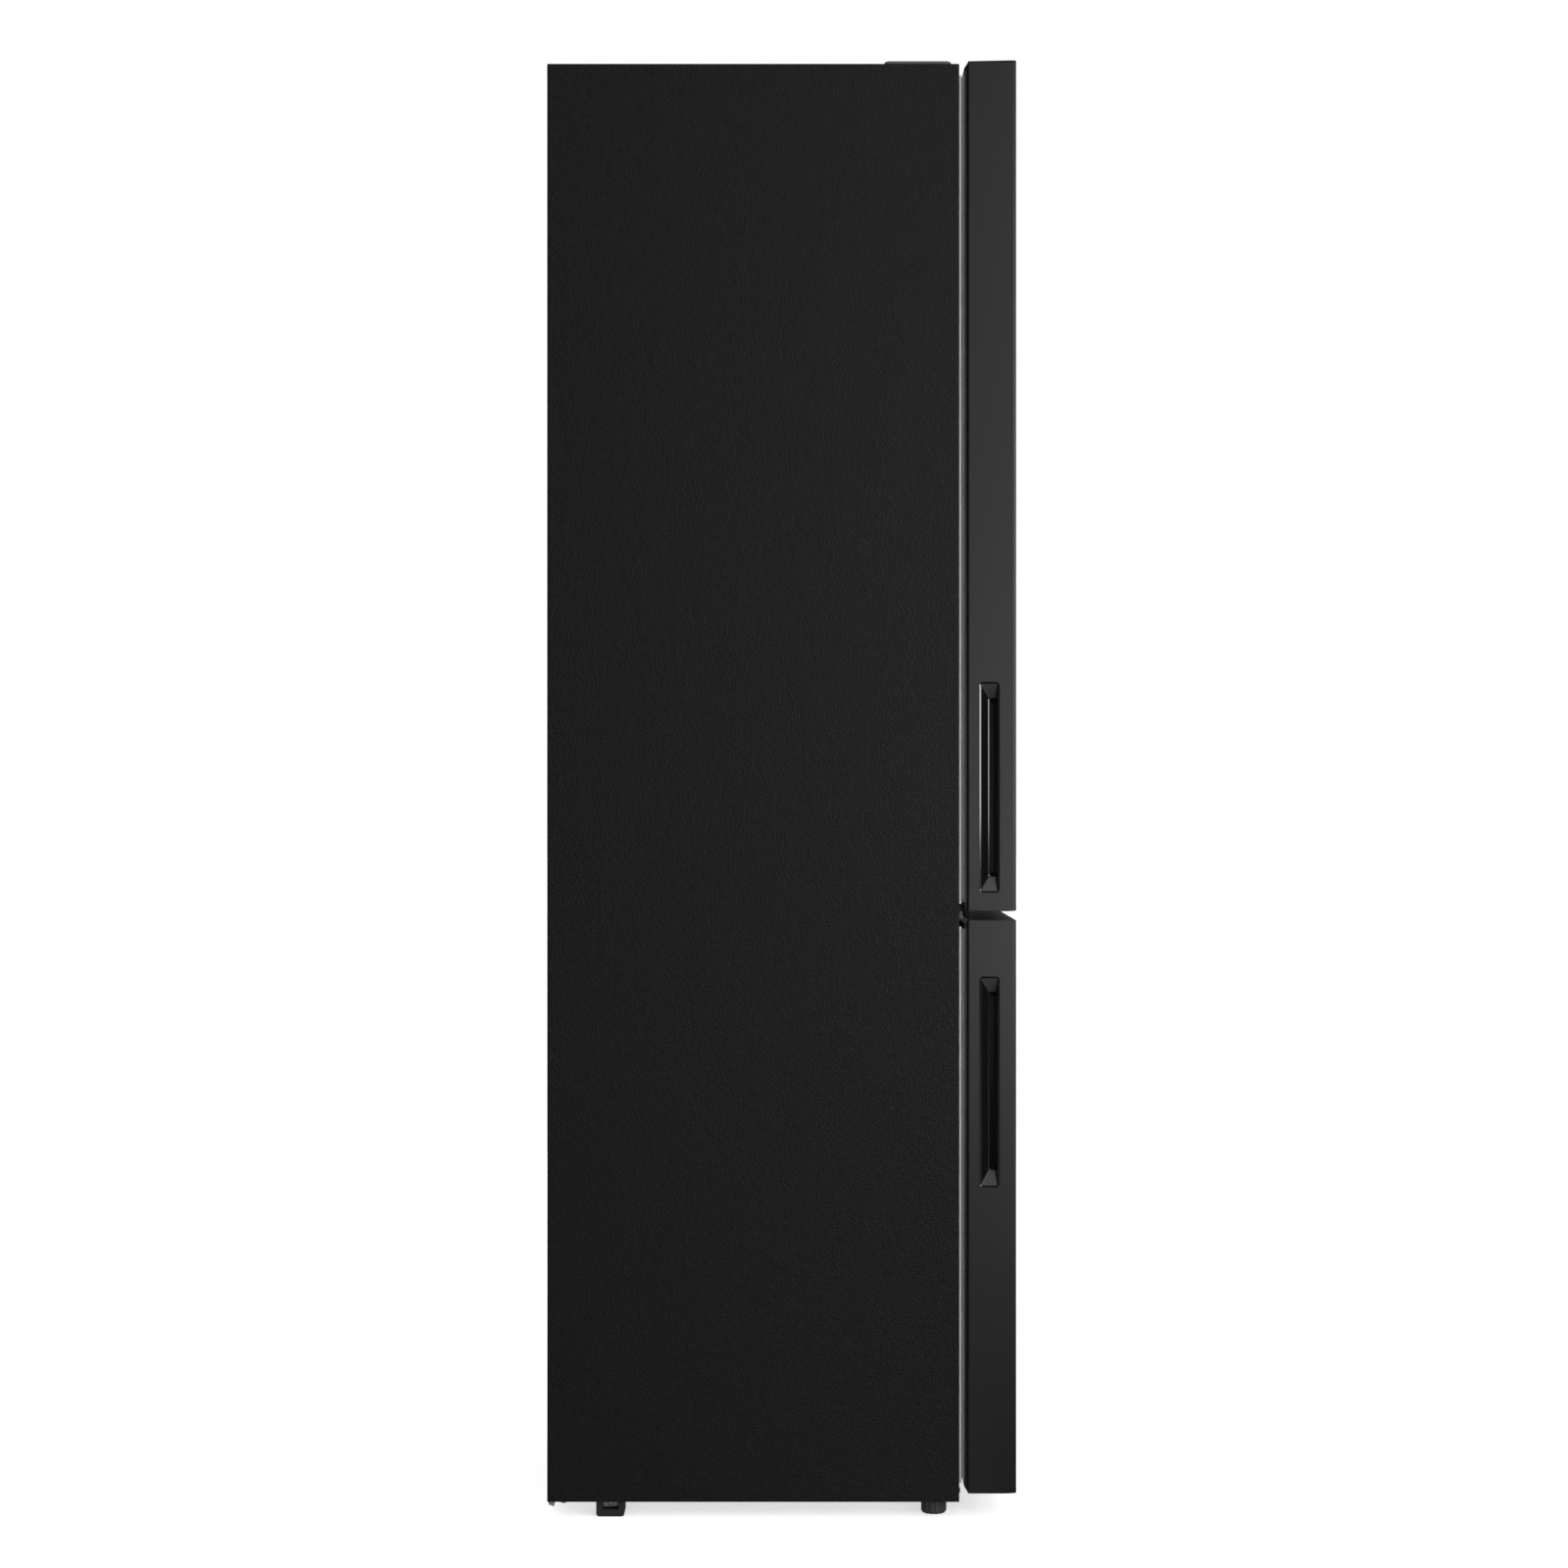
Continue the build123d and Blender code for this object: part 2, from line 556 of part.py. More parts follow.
# Finned cooling coil behind its cover
COIL_Z = STEP_Z + 20
COIL_Y = (COIL_COVER_Y + FREEZER_BACK + 3) / 2
with BuildPart() as evaporator:
    tube_rows = [COIL_Z + 28 + 45 * k for k in range(4)]
    for y in (COIL_Y - 14, COIL_Y + 14):
        with BuildSketch(side(-205)):
            with Locations(*[(y, z) for z in tube_rows]):
                Circle(4)
        extrude(amount=410)
    for k in range(15):
        x = -196 + 28 * k
        block((x - 0.4, x + 0.4), (COIL_Y - 30, COIL_Y + 30), (COIL_Z, COIL_Z + 190))
    block((-204, -202), (COIL_Y - 33, FREEZER_BACK), (COIL_Z - 4, COIL_Z + 200))
    block((202, 204), (COIL_Y - 33, FREEZER_BACK), (COIL_Z - 4, COIL_Z + 200))
save(evaporator, "evaporator")

# Fan behind the grille, its motor held on the back wall
ROTOR_Y = COIL_COVER_Y + 9
with BuildPart() as fan_motor:
    with BuildSketch(front(FREEZER_BACK)):
        with Locations((0, FAN_Z)):
            Circle(24)
    extrude(amount=FREEZER_BACK - ROTOR_Y - 28)
    with BuildSketch(front(FREEZER_BACK)):
        with Locations((0, FAN_Z)):
            RectangleRounded(128, 22, 8)
    extrude(amount=3)
    with BuildSketch(front(FREEZER_BACK - 2)):
        with Locations((0, FAN_Z)):
            Circle(2.5)
    extrude(amount=FREEZER_BACK - ROTOR_Y - 8)
save(fan_motor, "fan_motor")

with BuildPart() as fan_rotor:
    with BuildSketch(front(ROTOR_Y + 24)):
        with Locations((0, FAN_Z)):
            Circle(17)
    extrude(amount=24)
    with BuildSketch(front(ROTOR_Y + 25)):
        with Locations((0, FAN_Z)):
            Circle(2.5 + PIN_PLAY)
    extrude(amount=20, mode=Mode.SUBTRACT)
    blade_plane = Plane(origin=(0, ROTOR_Y + 12, FAN_Z + 15), x_dir=(0.82, 0.57, 0), z_dir=(0, 0, 1))
    with BuildSketch(blade_plane):
        Rectangle(30, 1.8)
    extrude(amount=FAN_R - 16)
    blade = fan_rotor.part
    for k in range(1, 6):
        add(blade.rotate(Axis((0, 0, FAN_Z), (0, 1, 0)), 60 * k))
save(fan_rotor, "fan_rotor")

# Compressor with a domed shell, a weld seam, a foot plate and tube stubs
COMP_X = 110.0
COMP_Y = (BAY_FRONT + BACK) / 2 - 2
COMP_Z = CABINET_BOTTOM + 1.5 + 12
with BuildPart() as compressor:
    with BuildSketch(plan(COMP_Z + 6)):
        with Locations((COMP_X, COMP_Y)):
            SlotOverall(200, 148)
    extrude(amount=140)
    fillet(compressor.faces().sort_by(Axis.Z)[-1].edges(), radius=44)
    fillet(compressor.faces().sort_by(Axis.Z)[0].edges(), radius=22)
    with BuildSketch(plan(COMP_Z + 72)):
        with Locations((COMP_X, COMP_Y)):
            SlotOverall(206, 154)
    extrude(amount=5)
    with BuildSketch(plan(COMP_Z + 2)):
        with Locations((COMP_X, COMP_Y)):
            RectangleRounded(230, 130, 14)
        with Locations((COMP_X, COMP_Y)):
            with GridLocations(200, 100, 2, 2):
                Circle(6, mode=Mode.SUBTRACT)
    extrude(amount=6)
    with BuildSketch(side(COMP_X - 112)):
        with Locations((COMP_Y - 24, COMP_Z + 100), (COMP_Y + 24, COMP_Z + 60)):
            Circle(4)
    extrude(amount=40)
save(compressor, "compressor")

with BuildPart() as compressor_mounts:
    for dx in (-100, 100):
        for dy in (-50, 50):
            upright(COMP_X + dx, COMP_Y + dy, 12, CABINET_BOTTOM + 1.5, COMP_Z + 2)
            upright(COMP_X + dx, COMP_Y + dy, 6, COMP_Z + 2, COMP_Z + 8)
            upright(COMP_X + dx, COMP_Y + dy, 10, COMP_Z + 8, COMP_Z + 11)
save(compressor_mounts, "compressor_mounts")

with BuildPart() as terminal_box:
    block((COMP_X + 88, COMP_X + 130), (COMP_Y - 32, COMP_Y + 32), (COMP_Z + 30, COMP_Z + 106))
    fillet(terminal_box.edges().filter_by(Axis.Z), radius=5)
    add(compressor.part, mode=Mode.SUBTRACT)
save(terminal_box, "terminal_box")

# Copper tubes from the compressor up into the back insulation, with the drier on the discharge side
TUBE_X = COMP_X - 112
with BuildPart() as refrigerant_tubes:
    for y, z, x1, r in ((COMP_Y - 24, COMP_Z + 100, -90, 4.0), (COMP_Y + 24, COMP_Z + 60, -150, 4.0)):
        with BuildLine() as run:
            FilletPolyline((TUBE_X, y, z), (x1, y, z), (x1, y, BAY_TOP), radius=24)
        with BuildSketch(Plane(origin=(TUBE_X, y, z), z_dir=(-1, 0, 0))):
            Circle(r)
        sweep(path=run.line)
    upright(-150, COMP_Y + 24, 10, COMP_Z + 100, COMP_Z + 180)
    refrigerant_ends = refrigerant_tubes.faces().filter_by(Plane.XY).group_by(SortBy.AREA)[-1].edges()
    fillet(refrigerant_ends.filter_by(lambda e: e.length > 50), radius=5)
save(refrigerant_tubes, "refrigerant_tubes")

# Tray for melt water on the compressor
PAN_Z = COMP_Z + 146
with BuildPart() as evaporation_pan:
    tub((COMP_X - 110, COMP_X + 110), (COMP_Y - 80, COMP_Y + 80), PAN_Z, 34, 3)
save(evaporation_pan, "evaporation_pan")

# Louvred cover of the machine bay, with the gland of the mains lead
with BuildPart() as compressor_cover:
    plate_y = BACK - SHEET
    block((-HALF + 2, HALF - 2), (plate_y - 2, plate_y), (CABINET_BOTTOM + 1.5, BAY_TOP))
    with BuildSketch(front(plate_y + 1)):
        for x in (-195, -65, 65, 195):
            with Locations(*[(x, CABINET_BOTTOM + 50 + 15 * k) for k in range(9)]):
                SlotOverall(104, 6)
    extrude(amount=5, mode=Mode.SUBTRACT)
    with BuildSketch(front(plate_y + 0.6)):
        with Locations((-265, CABINET_BOTTOM + 60)):
            Circle(9)
    extrude(amount=12)
    with BuildSketch(front(plate_y + 2)):
        with Locations((-265, CABINET_BOTTOM + 60)):
            Circle(4)
    extrude(amount=20, mode=Mode.SUBTRACT)
save(compressor_cover, "compressor_cover")

# Rear foot blocks with an outward pocket
with BuildPart() as rear_feet:
    for sx in (-1, 1):
        foot_x = sorted((sx * REAR_FOOT_X, sx * (REAR_FOOT_X - 42)))
        with BuildSketch(side(foot_x[0])) as outline:
            with BuildLine():
                Polyline(
                    (REAR_FOOT_Y - 19.5, CABINET_BOTTOM), (REAR_FOOT_Y - 19.5, 0),
                    (REAR_FOOT_Y + 19.5, 0), (REAR_FOOT_Y + 19.5, CABINET_BOTTOM), close=True,
                )
            make_face()
            fillet(outline.vertices().group_by(Axis.Y)[0], radius=4.5)
        extrude(amount=42)
        pocket_x = sorted((sx * (REAR_FOOT_X + 1), sx * (REAR_FOOT_X - 13.5)))
        block(pocket_x, (REAR_FOOT_Y - 11, REAR_FOOT_Y + 11), (10, CABINET_BOTTOM + 1), Mode.SUBTRACT)
save(rear_feet, "rear_feet")

# Front levelling feet: fluted pads on threaded studs
for sx, name in ((-1, "front_foot_left"), (1, "front_foot_right")):
    with BuildPart() as front_foot:
        with BuildSketch(plan(0)):
            with Locations((sx * FOOT_X, FOOT_Y)):
                Circle(FOOT_R)
                with PolarLocations(FOOT_R + 2.2, 12):
                    Circle(3.2, mode=Mode.SUBTRACT)
        extrude(amount=CABINET_BOTTOM - 1.2)
        chamfer(front_foot.faces().sort_by(Axis.Z)[0].edges(), length=3.5, length2=2.4)
        upright(sx * FOOT_X, FOOT_Y, STUD_R, CABINET_BOTTOM - 2, CABINET_BOTTOM + 15)
    save(front_foot, name)

# Hinge brackets on the right side, each one plate with its pins
with BuildPart() as top_hinge:
    with BuildSketch(plan(CABINET_TOP)):
        with Locations(((HALF - COVER_INSET - 42), (COVER_REAR + CAB_FRONT) / 2 - 2)):
            Rectangle(76, COVER_REAR - CAB_FRONT - 12)
    extrude(amount=3)
    arm_x = (HALF - COVER_INSET - 40, HALF - COVER_INSET - 4)
    block(arm_x, (CAB_FRONT + 1, CAB_FRONT + 5), (CABINET_TOP, ARM_Z + 3))
    with BuildSketch(plan(ARM_Z)):
        with Locations(((arm_x[0] + arm_x[1]) / 2, CAB_FRONT + 3)):
            Rectangle(arm_x[1] - arm_x[0], 4)
        with Locations((HINGE_X, HINGE_Y)):
            Circle(12)
        make_hull()
    extrude(amount=3)
    upright(HINGE_X, HINGE_Y, PIN_R, ARM_Z - PIN_REACH - 1, ARM_Z)
save(top_hinge, "top_hinge")


def front_bracket(plate_z, flange_z, pin_z):
    flange_x = (HALF - 84, HALF - 9)
    block(flange_x, (CAB_FRONT - 3, CAB_FRONT), flange_z)
    with BuildSketch(plan(plate_z)) as arm:
        with Locations((HALF - 40, CAB_FRONT - 1.5)):
            Rectangle(56, 3)
        with Locations((HINGE_X, HINGE_Y)):
            Circle(12)
        make_hull()
    extrude(arm.sketch, amount=PLATE)
    upright(HINGE_X, HINGE_Y, PIN_R, pin_z[0], pin_z[1])


with BuildPart() as middle_hinge:
    front_bracket(
        MID_Z, (MID_Z - 11.5, MID_Z + PLATE + 11.5),
        (FREEZER_DOOR_TOP - PIN_REACH, FRIDGE_DOOR_BOTTOM + PIN_REACH),
    )
save(middle_hinge, "middle_hinge")

with BuildPart() as bottom_hinge:
    front_bracket(LOW_Z, (LOW_Z - 1, LOW_Z + 18), (LOW_Z + 1, FREEZER_DOOR_BOTTOM + PIN_REACH))
save(bottom_hinge, "bottom_hinge")

# Low covers on the cabinet top, the right one over the hinge bracket
with BuildPart() as hinge_covers:
    for sx in (-1, 1):
        cover_x = sorted((sx * (HALF - COVER_INSET), sx * (HALF - COVER_INSET - COVER_WIDTH)))
        middle = ((cover_x[0] + cover_x[1]) / 2, (COVER_FRONT + COVER_REAR) / 2)
        with BuildSketch(plan(CABINET_TOP)):
            with Locations(middle):
                RectangleRounded(COVER_WIDTH, COVER_REAR - COVER_FRONT, 8)
        extrude(amount=COVER_HEIGHT)
    fillet(hinge_covers.faces().group_by(Axis.Z)[-1].edges(), radius=3.5)
    for sx in (-1, 1):
        cover_x = sorted((sx * (HALF - COVER_INSET), sx * (HALF - COVER_INSET - COVER_WIDTH)))
        middle = ((cover_x[0] + cover_x[1]) / 2, (COVER_FRONT + COVER_REAR) / 2)
        with BuildSketch(plan(CABINET_TOP)):
            with Locations(middle):
                RectangleRounded(COVER_WIDTH - 5, COVER_REAR - COVER_FRONT - 5, 5.5)
        extrude(amount=COVER_HEIGHT - 2.5, mode=Mode.SUBTRACT)
    slot_x = (HALF - COVER_INSET - 81, HALF - COVER_INSET - 3.4)
    block(slot_x, (COVER_FRONT - 1, COVER_FRONT + 9), (CABINET_TOP, ARM_Z + 3.6), Mode.SUBTRACT)
save(hinge_covers, "hinge_covers")

# Blanking pieces of the spare hinge places on the grip side
with BuildPart() as hinge_blanks:
    with BuildSketch(front(CAB_FRONT)):
        with Locations((-HALF + 22, MID_Z + PLATE / 2)):
            RectangleRounded(38, 13, 4)
    extrude(amount=4.5)
    fillet(hinge_blanks.faces().sort_by(Axis.Y)[0].edges(), radius=2)
    with BuildSketch(front(CAB_FRONT)):
        with Locations((-HALF + 12, LOW_Z + 11), (-HALF + 34, LOW_Z + 11)):
            Circle(3.6)
    extrude(amount=1.6)
save(hinge_blanks, "hinge_blanks")

# Identical pan-head screws of the hinges, the base plate and the rear feet
SCREW_R = 4.2
SCREW_H = 2.4
with BuildPart() as screws:
    base_x = HALF - COVER_INSET - 42
    with BuildSketch(plan(CABINET_TOP + 3)):
        with Locations(
            (base_x - 24, COVER_REAR - 28), (base_x + 24, COVER_REAR - 28), (base_x, COVER_FRONT + 22),
        ):
            Circle(SCREW_R)
    extrude(amount=SCREW_H)
    with BuildSketch(front(CAB_FRONT - 3)):
        with Locations(
            (HALF - 74, MID_Z + PLATE + 6), (HALF - 74, MID_Z - 6), (HALF - 74, LOW_Z + 9),
            (HALF - 40, LOW_Z + 11), (HALF - 40, MID_Z + PLATE + 6),
        ):
            Circle(SCREW_R)
    extrude(amount=SCREW_H)
    for sx in (-1, 1):
        with BuildSketch(plan(CABINET_BOTTOM)):
            with Locations((sx * (HALF - 7), BACK - 22.5)):
                Circle(SCREW_R)
        extrude(amount=-SCREW_H)
        with BuildSketch(side(sx * (REAR_FOOT_X - 12))):
            with Locations((REAR_FOOT_Y, CABINET_BOTTOM - 5)):
                Circle(SCREW_R)
        extrude(amount=sx * SCREW_H)
save(screws, "screws")


# Straight-sided volume through rounded rectangles at growing depths behind the door side
def stepped(sections, z0, corner):
    with BuildPart() as volume:
        for depth, rear, fore, length in sections:
            with BuildSketch(side(-HALF + depth)):
                with Locations(((rear + fore) / 2, z0 + GRIP_LENGTH / 2)):
                    RectangleRounded(rear - fore, length, corner)
        loft(ruled=True)
    return volume.part


# Hollow of a side grip: chamfered mouth, ramps at both ends, sloping rear wall, ledge and finger slot
def grip_hollow(z0):
    sections = [
        (0, GRIP_REAR + RIM_WIDTH, GRIP_FRONT - RIM_WIDTH, GRIP_LENGTH + 2 * RIM_WIDTH),
        (RIM_DEPTH, GRIP_REAR, GRIP_FRONT, GRIP_LENGTH),
        (GRIP_STEP, SLOT_REAR + RIM_WIDTH, SLOT_FRONT, SLOT_LENGTH + RIM_WIDTH),
        (GRIP_STEP + RIM_DEPTH, SLOT_REAR, SLOT_FRONT, SLOT_LENGTH),
        (GRIP_DEPTH, SLOT_REAR - SLOT_DRAFT, SLOT_FRONT + SLOT_DRAFT, SLOT_LENGTH - 2 * SLOT_END),
    ]
    return stepped(sections, z0, GRIP_CORNER)


# Outside of a side grip, one wall thickness round its hollow
def grip_body(z0):
    ledge = SLOT_REAR + RIM_WIDTH
    sections = [
        (0, GRIP_REAR + GRIP_WALL, GRIP_FRONT - GRIP_WALL, GRIP_LENGTH + 2 * GRIP_WALL),
        (GRIP_STEP + GRIP_WALL, ledge + GRIP_WALL, SLOT_FRONT - GRIP_WALL, SLOT_LENGTH + 3 * GRIP_WALL),
        (GRIP_DEPTH + GRIP_WALL, SLOT_REAR + GRIP_WALL, SLOT_FRONT - GRIP_WALL, SLOT_LENGTH),
    ]
    return stepped(sections, z0, GRIP_CORNER + GRIP_WALL)


# Folded door skin with a rolled rear edge on both sides
def door_skin(z0, z1, drop, grip):
    low = z0 + CAP_LIP
    high = z1 - drop - CAP_LIP
    tip = HALF - HEM_IN + HEM_OUT
    with BuildPart() as skin:
        with BuildSketch(plan(low)):
            folded(
                [(-tip, HEM_Y - SHEET), (-HALF + HEM_IN, HEM_Y - SHEET), (-HALF + HEM_IN, DOOR_REAR),
                 (-HALF, DOOR_REAR), (-HALF, DOOR_FRONT), (HALF, DOOR_FRONT), (HALF, DOOR_REAR),
                 (HALF - HEM_IN, DOOR_REAR), (HALF - HEM_IN, HEM_Y - SHEET), (tip, HEM_Y - SHEET)],
                [0.3, 0.3, 1.6, EDGE_R, EDGE_R, 1.6, 0.3, 0.3], SHEET, Side.LEFT,
            )
        extrude(amount=high - low)
        behind = (DOOR_REAR, DOOR_REAR + 20)
        block((-WIDTH, WIDTH), behind, (low - 1, z0 + CAP_STEP), Mode.SUBTRACT)
        block((-WIDTH, WIDTH), behind, (z1 - drop - CAP_STEP, high + 1), Mode.SUBTRACT)
        add(grip_body(grip), mode=Mode.SUBTRACT)
    return skin


# End caps with a lip over the skin, a rear slope, hollow plugs and hinge sockets
def door_caps(z0, z1, drop, low_reach):
    high = z1 - drop - CAP_LIP
    low = z0 + CAP_LIP
    plug_y = (DOOR_FRONT + SHEET, DOOR_REAR - SHEET)
    with BuildPart() as caps:
        with BuildSketch(side(-HALF)):
            with BuildLine():
                Polyline(
                    (DOOR_FRONT, high), (DOOR_FRONT, z1 - 1.2), (DOOR_FRONT + 1.5, z1), (DOOR_REAR, z1 - drop),
                    (DOOR_REAR, high), close=True,
                )
            make_face()
            with BuildLine():
                Polyline(
                    (DOOR_FRONT, low), (DOOR_FRONT + 2, z0 + 0.6), (DOOR_FRONT + 12, z0), (DOOR_REAR, z0),
                    (DOOR_REAR, low), close=True,
                )
            make_face()
        extrude(amount=WIDTH)
        corners = [e for e in caps.edges().filter_by(Axis.Z) if e.center().Y < DOOR_FRONT + 0.1]
        fillet(corners, radius=EDGE_R)
        for z in (high - CAP_DEPTH, low):
            with BuildSketch(plan(z)) as plug:
                with Locations((0, (plug_y[0] + plug_y[1]) / 2)):
                    Rectangle(WIDTH - 2 * SHEET, plug_y[1] - plug_y[0])
                fillet(plug.vertices().group_by(Axis.Y)[0], radius=EDGE_R - SHEET)
                fillet(plug.vertices().group_by(Axis.Y)[-1], radius=1)
            extrude(amount=CAP_DEPTH)
        for z in (high - CAP_DEPTH, low + CAP_WALL):
            with BuildSketch(plan(z)):
                with Locations((0, (plug_y[0] + plug_y[1]) / 2)):
                    Rectangle(WIDTH - 2 * SHEET - 2 * CAP_WALL, plug_y[1] - plug_y[0] - 2 * CAP_WALL)
                with Locations((HINGE_X, HINGE_Y)):
                    Circle(BOSS_R, mode=Mode.SUBTRACT)
            extrude(amount=CAP_DEPTH - CAP_WALL, mode=Mode.SUBTRACT)
        wedge_half = HALF - HEM_IN - SHEET
        with BuildSketch(side(-wedge_half)):
            with BuildLine():
                Polyline(
                    (DOOR_REAR - SHEET, high), (DOOR_REAR, z1 - drop), (HEM_Y, z1 - drop - 8),
                    (HEM_Y, z1 - drop - CAP_STEP), (DOOR_REAR - SHEET, z1 - drop - CAP_STEP), close=True,
                )
            make_face()
            with BuildLine():
                Polyline(
                    (DOOR_REAR - SHEET, low), (DOOR_REAR, z0), (HEM_Y, z0 + 8),
                    (HEM_Y, z0 + CAP_STEP), (DOOR_REAR - SHEET, z0 + CAP_STEP), close=True,
                )
            make_face()
        extrude(amount=2 * wedge_half)
        upright(HINGE_X, HINGE_Y, BOSS_R, low_reach, z0 + 1)
        upright(HINGE_X, HINGE_Y, PIN_R + PIN_PLAY, low_reach - 1, z0 + PIN_REACH + 0.5, Mode.SUBTRACT)
        upright(HINGE_X, HINGE_Y, PIN_R + PIN_PLAY, z1 - PIN_REACH - 0.5, z1 + 1, Mode.SUBTRACT)
    return caps


# Inner liner of a door: a plate with a raised hollow border inside the seal
def door_liner(z0, z1, drop, border_z, reach, hooks):
    plate_half = HALF - HEM_IN - SHEET
    face_y = HEM_Y - LINER
    tip_y = CAB_FRONT + reach
    middle = (border_z[0] + border_z[1]) / 2
    tall = border_z[1] - border_z[0]
    with BuildPart() as liner:
        block((-plate_half, plate_half), (face_y, HEM_Y), (z0 + CAP_STEP, z1 - drop - CAP_STEP))
        with BuildSketch(front(tip_y)):
            with Locations((0, middle)):
                RectangleRounded(2 * DYKE_HALF, tall, 20)
                RectangleRounded(2 * (DYKE_HALF - DYKE_WIDTH), tall - 2 * DYKE_WIDTH, 12, mode=Mode.SUBTRACT)
        extrude(amount=tip_y - face_y)
        fillet(liner.faces().sort_by(Axis.Y)[-1].edges(), radius=5)
        with BuildSketch(front(tip_y - LINER)):
            with Locations((0, middle)):
                RectangleRounded(2 * (DYKE_HALF - LINER), tall - 2 * LINER, 18)
                RectangleRounded(
                    2 * (DYKE_HALF - DYKE_WIDTH + LINER), tall - 2 * DYKE_WIDTH + 2 * LINER, 14,
                    mode=Mode.SUBTRACT,
                )
        extrude(amount=tip_y - LINER - face_y, mode=Mode.SUBTRACT)
        for z in hooks:
            for sx in (-1, 1):
                hook_x = sorted((sx * (DYKE_HALF - DYKE_WIDTH), sx * (DYKE_HALF - DYKE_WIDTH - 5)))
                block(hook_x, (BIN_MID - 7, BIN_MID + 7), (z + 6, z + BIN_HOOK))
    return liner


# Foamed core of a door, shaped by the skin, the caps, the liner and the grip
def door_insulation(z0, z1, drop, border_z, reach, caps, liner, grip):
    high = z1 - drop - CAP_LIP
    low = z0 + CAP_LIP
    middle = (border_z[0] + border_z[1]) / 2
    tall = border_z[1] - border_z[0]
    tip_y = CAB_FRONT + reach - LINER
    with BuildPart() as core:
        block((-HALF + SHEET, HALF - SHEET), (DOOR_FRONT + SHEET, DOOR_REAR - SHEET), (low, high))
        fillet(core.edges().filter_by(Axis.Z).sort_by(Axis.Y)[:2], radius=EDGE_R - SHEET)
        fillet(core.edges().filter_by(Axis.Z).sort_by(Axis.Y)[-2:], radius=1)
        inner = HALF - HEM_IN - SHEET
        block((-inner, inner), (DOOR_REAR - 2 * SHEET, HEM_Y - LINER), (z0 + CAP_STEP, z1 - drop - CAP_STEP))
        with BuildSketch(front(tip_y)):
            with Locations((0, middle)):
                RectangleRounded(2 * (DYKE_HALF - LINER), tall - 2 * LINER, 18)
                RectangleRounded(
                    2 * (DYKE_HALF - DYKE_WIDTH + LINER), tall - 2 * DYKE_WIDTH + 2 * LINER, 14,
                    mode=Mode.SUBTRACT,
                )
        extrude(amount=tip_y - DOOR_REAR + 3)
        add(caps.part, mode=Mode.SUBTRACT)
        add(liner.part, mode=Mode.SUBTRACT)
        add(grip_body(grip), mode=Mode.SUBTRACT)
        upright(HINGE_X, HINGE_Y, PIN_R + 1, z0, z0 + PIN_REACH + 2, Mode.SUBTRACT)
        upright(HINGE_X, HINGE_Y, PIN_R + 1, z1 - PIN_REACH - 2, z1, Mode.SUBTRACT)
    return core


# Seal: a foot on the liner, a narrow bellows and a wide magnet pocket toward the cabinet
def door_seal(z0, z1):
    outer = HALF - SEAL_INSET
    full = CAB_FRONT - SEAL_PLAY - HEM_Y
    with BuildPart() as seal:
        with BuildLine() as run:
            Polyline(
                (0, HEM_Y, z0), (outer, HEM_Y, z0), (outer, HEM_Y, z1), (-outer, HEM_Y, z1),
                (-outer, HEM_Y, z0), (0, HEM_Y, z0),
            )
        with BuildSketch(Plane(origin=(0, HEM_Y, z0), x_dir=(0, 0, 1), z_dir=(1, 0, 0))):
            with BuildLine():
                Polyline(
                    (3, 0), (SEAL_WIDTH - 3, 0), (SEAL_WIDTH - 3, -1.2), (SEAL_WIDTH - 8, -1.6),
                    (SEAL_WIDTH - 9, -2.6), (SEAL_WIDTH, -3.2), (SEAL_WIDTH, -full + 0.6),
                    (SEAL_WIDTH - 1, -full), (1, -full), (0, -full + 0.6), (0, -3.6), (9, -2.6), (8, -1.6),
                    (3, -1.2), close=True,
                )
            make_face()
        sweep(path=run.line, transition=Transition.RIGHT)
    return seal


def grip_cup(grip):
    with BuildPart() as cup:
        add(grip_body(grip))
        add(grip_hollow(grip), mode=Mode.SUBTRACT)
    return cup


BIN_MID = HEM_Y + 0.6 + BIN_DEPTH / 2
FRIDGE_BORDER = (FRIDGE_FLOOR + 12, FRIDGE_CEIL - 12)
FREEZER_BORDER = (FREEZER_FLOOR + 12, FREEZER_CEIL - 12)

# Fridge door
fridge_door_skin = door_skin(FRIDGE_DOOR_BOTTOM, DOOR_TOP, TOP_DROP, FRIDGE_GRIP)
save(fridge_door_skin, "fridge_door_skin")
fridge_door_caps = door_caps(FRIDGE_DOOR_BOTTOM, DOOR_TOP, TOP_DROP, MID_Z + PLATE + 0.3)
save(fridge_door_caps, "fridge_door_caps")
fridge_door_liner = door_liner(FRIDGE_DOOR_BOTTOM, DOOR_TOP, TOP_DROP, FRIDGE_BORDER, FRIDGE_DYKE, BIN_Z)
save(fridge_door_liner, "fridge_door_liner")
fridge_door_insulation = door_insulation(
    FRIDGE_DOOR_BOTTOM, DOOR_TOP, TOP_DROP, FRIDGE_BORDER, FRIDGE_DYKE, fridge_door_caps,
    fridge_door_liner, FRIDGE_GRIP,
)
save(fridge_door_insulation, "fridge_door_insulation")
fridge_door_seal = door_seal(FRIDGE_DOOR_BOTTOM + 10, DOOR_TOP - 18)
save(fridge_door_seal, "fridge_door_seal")
fridge_door_grip = grip_cup(FRIDGE_GRIP)
save(fridge_door_grip, "fridge_door_grip")

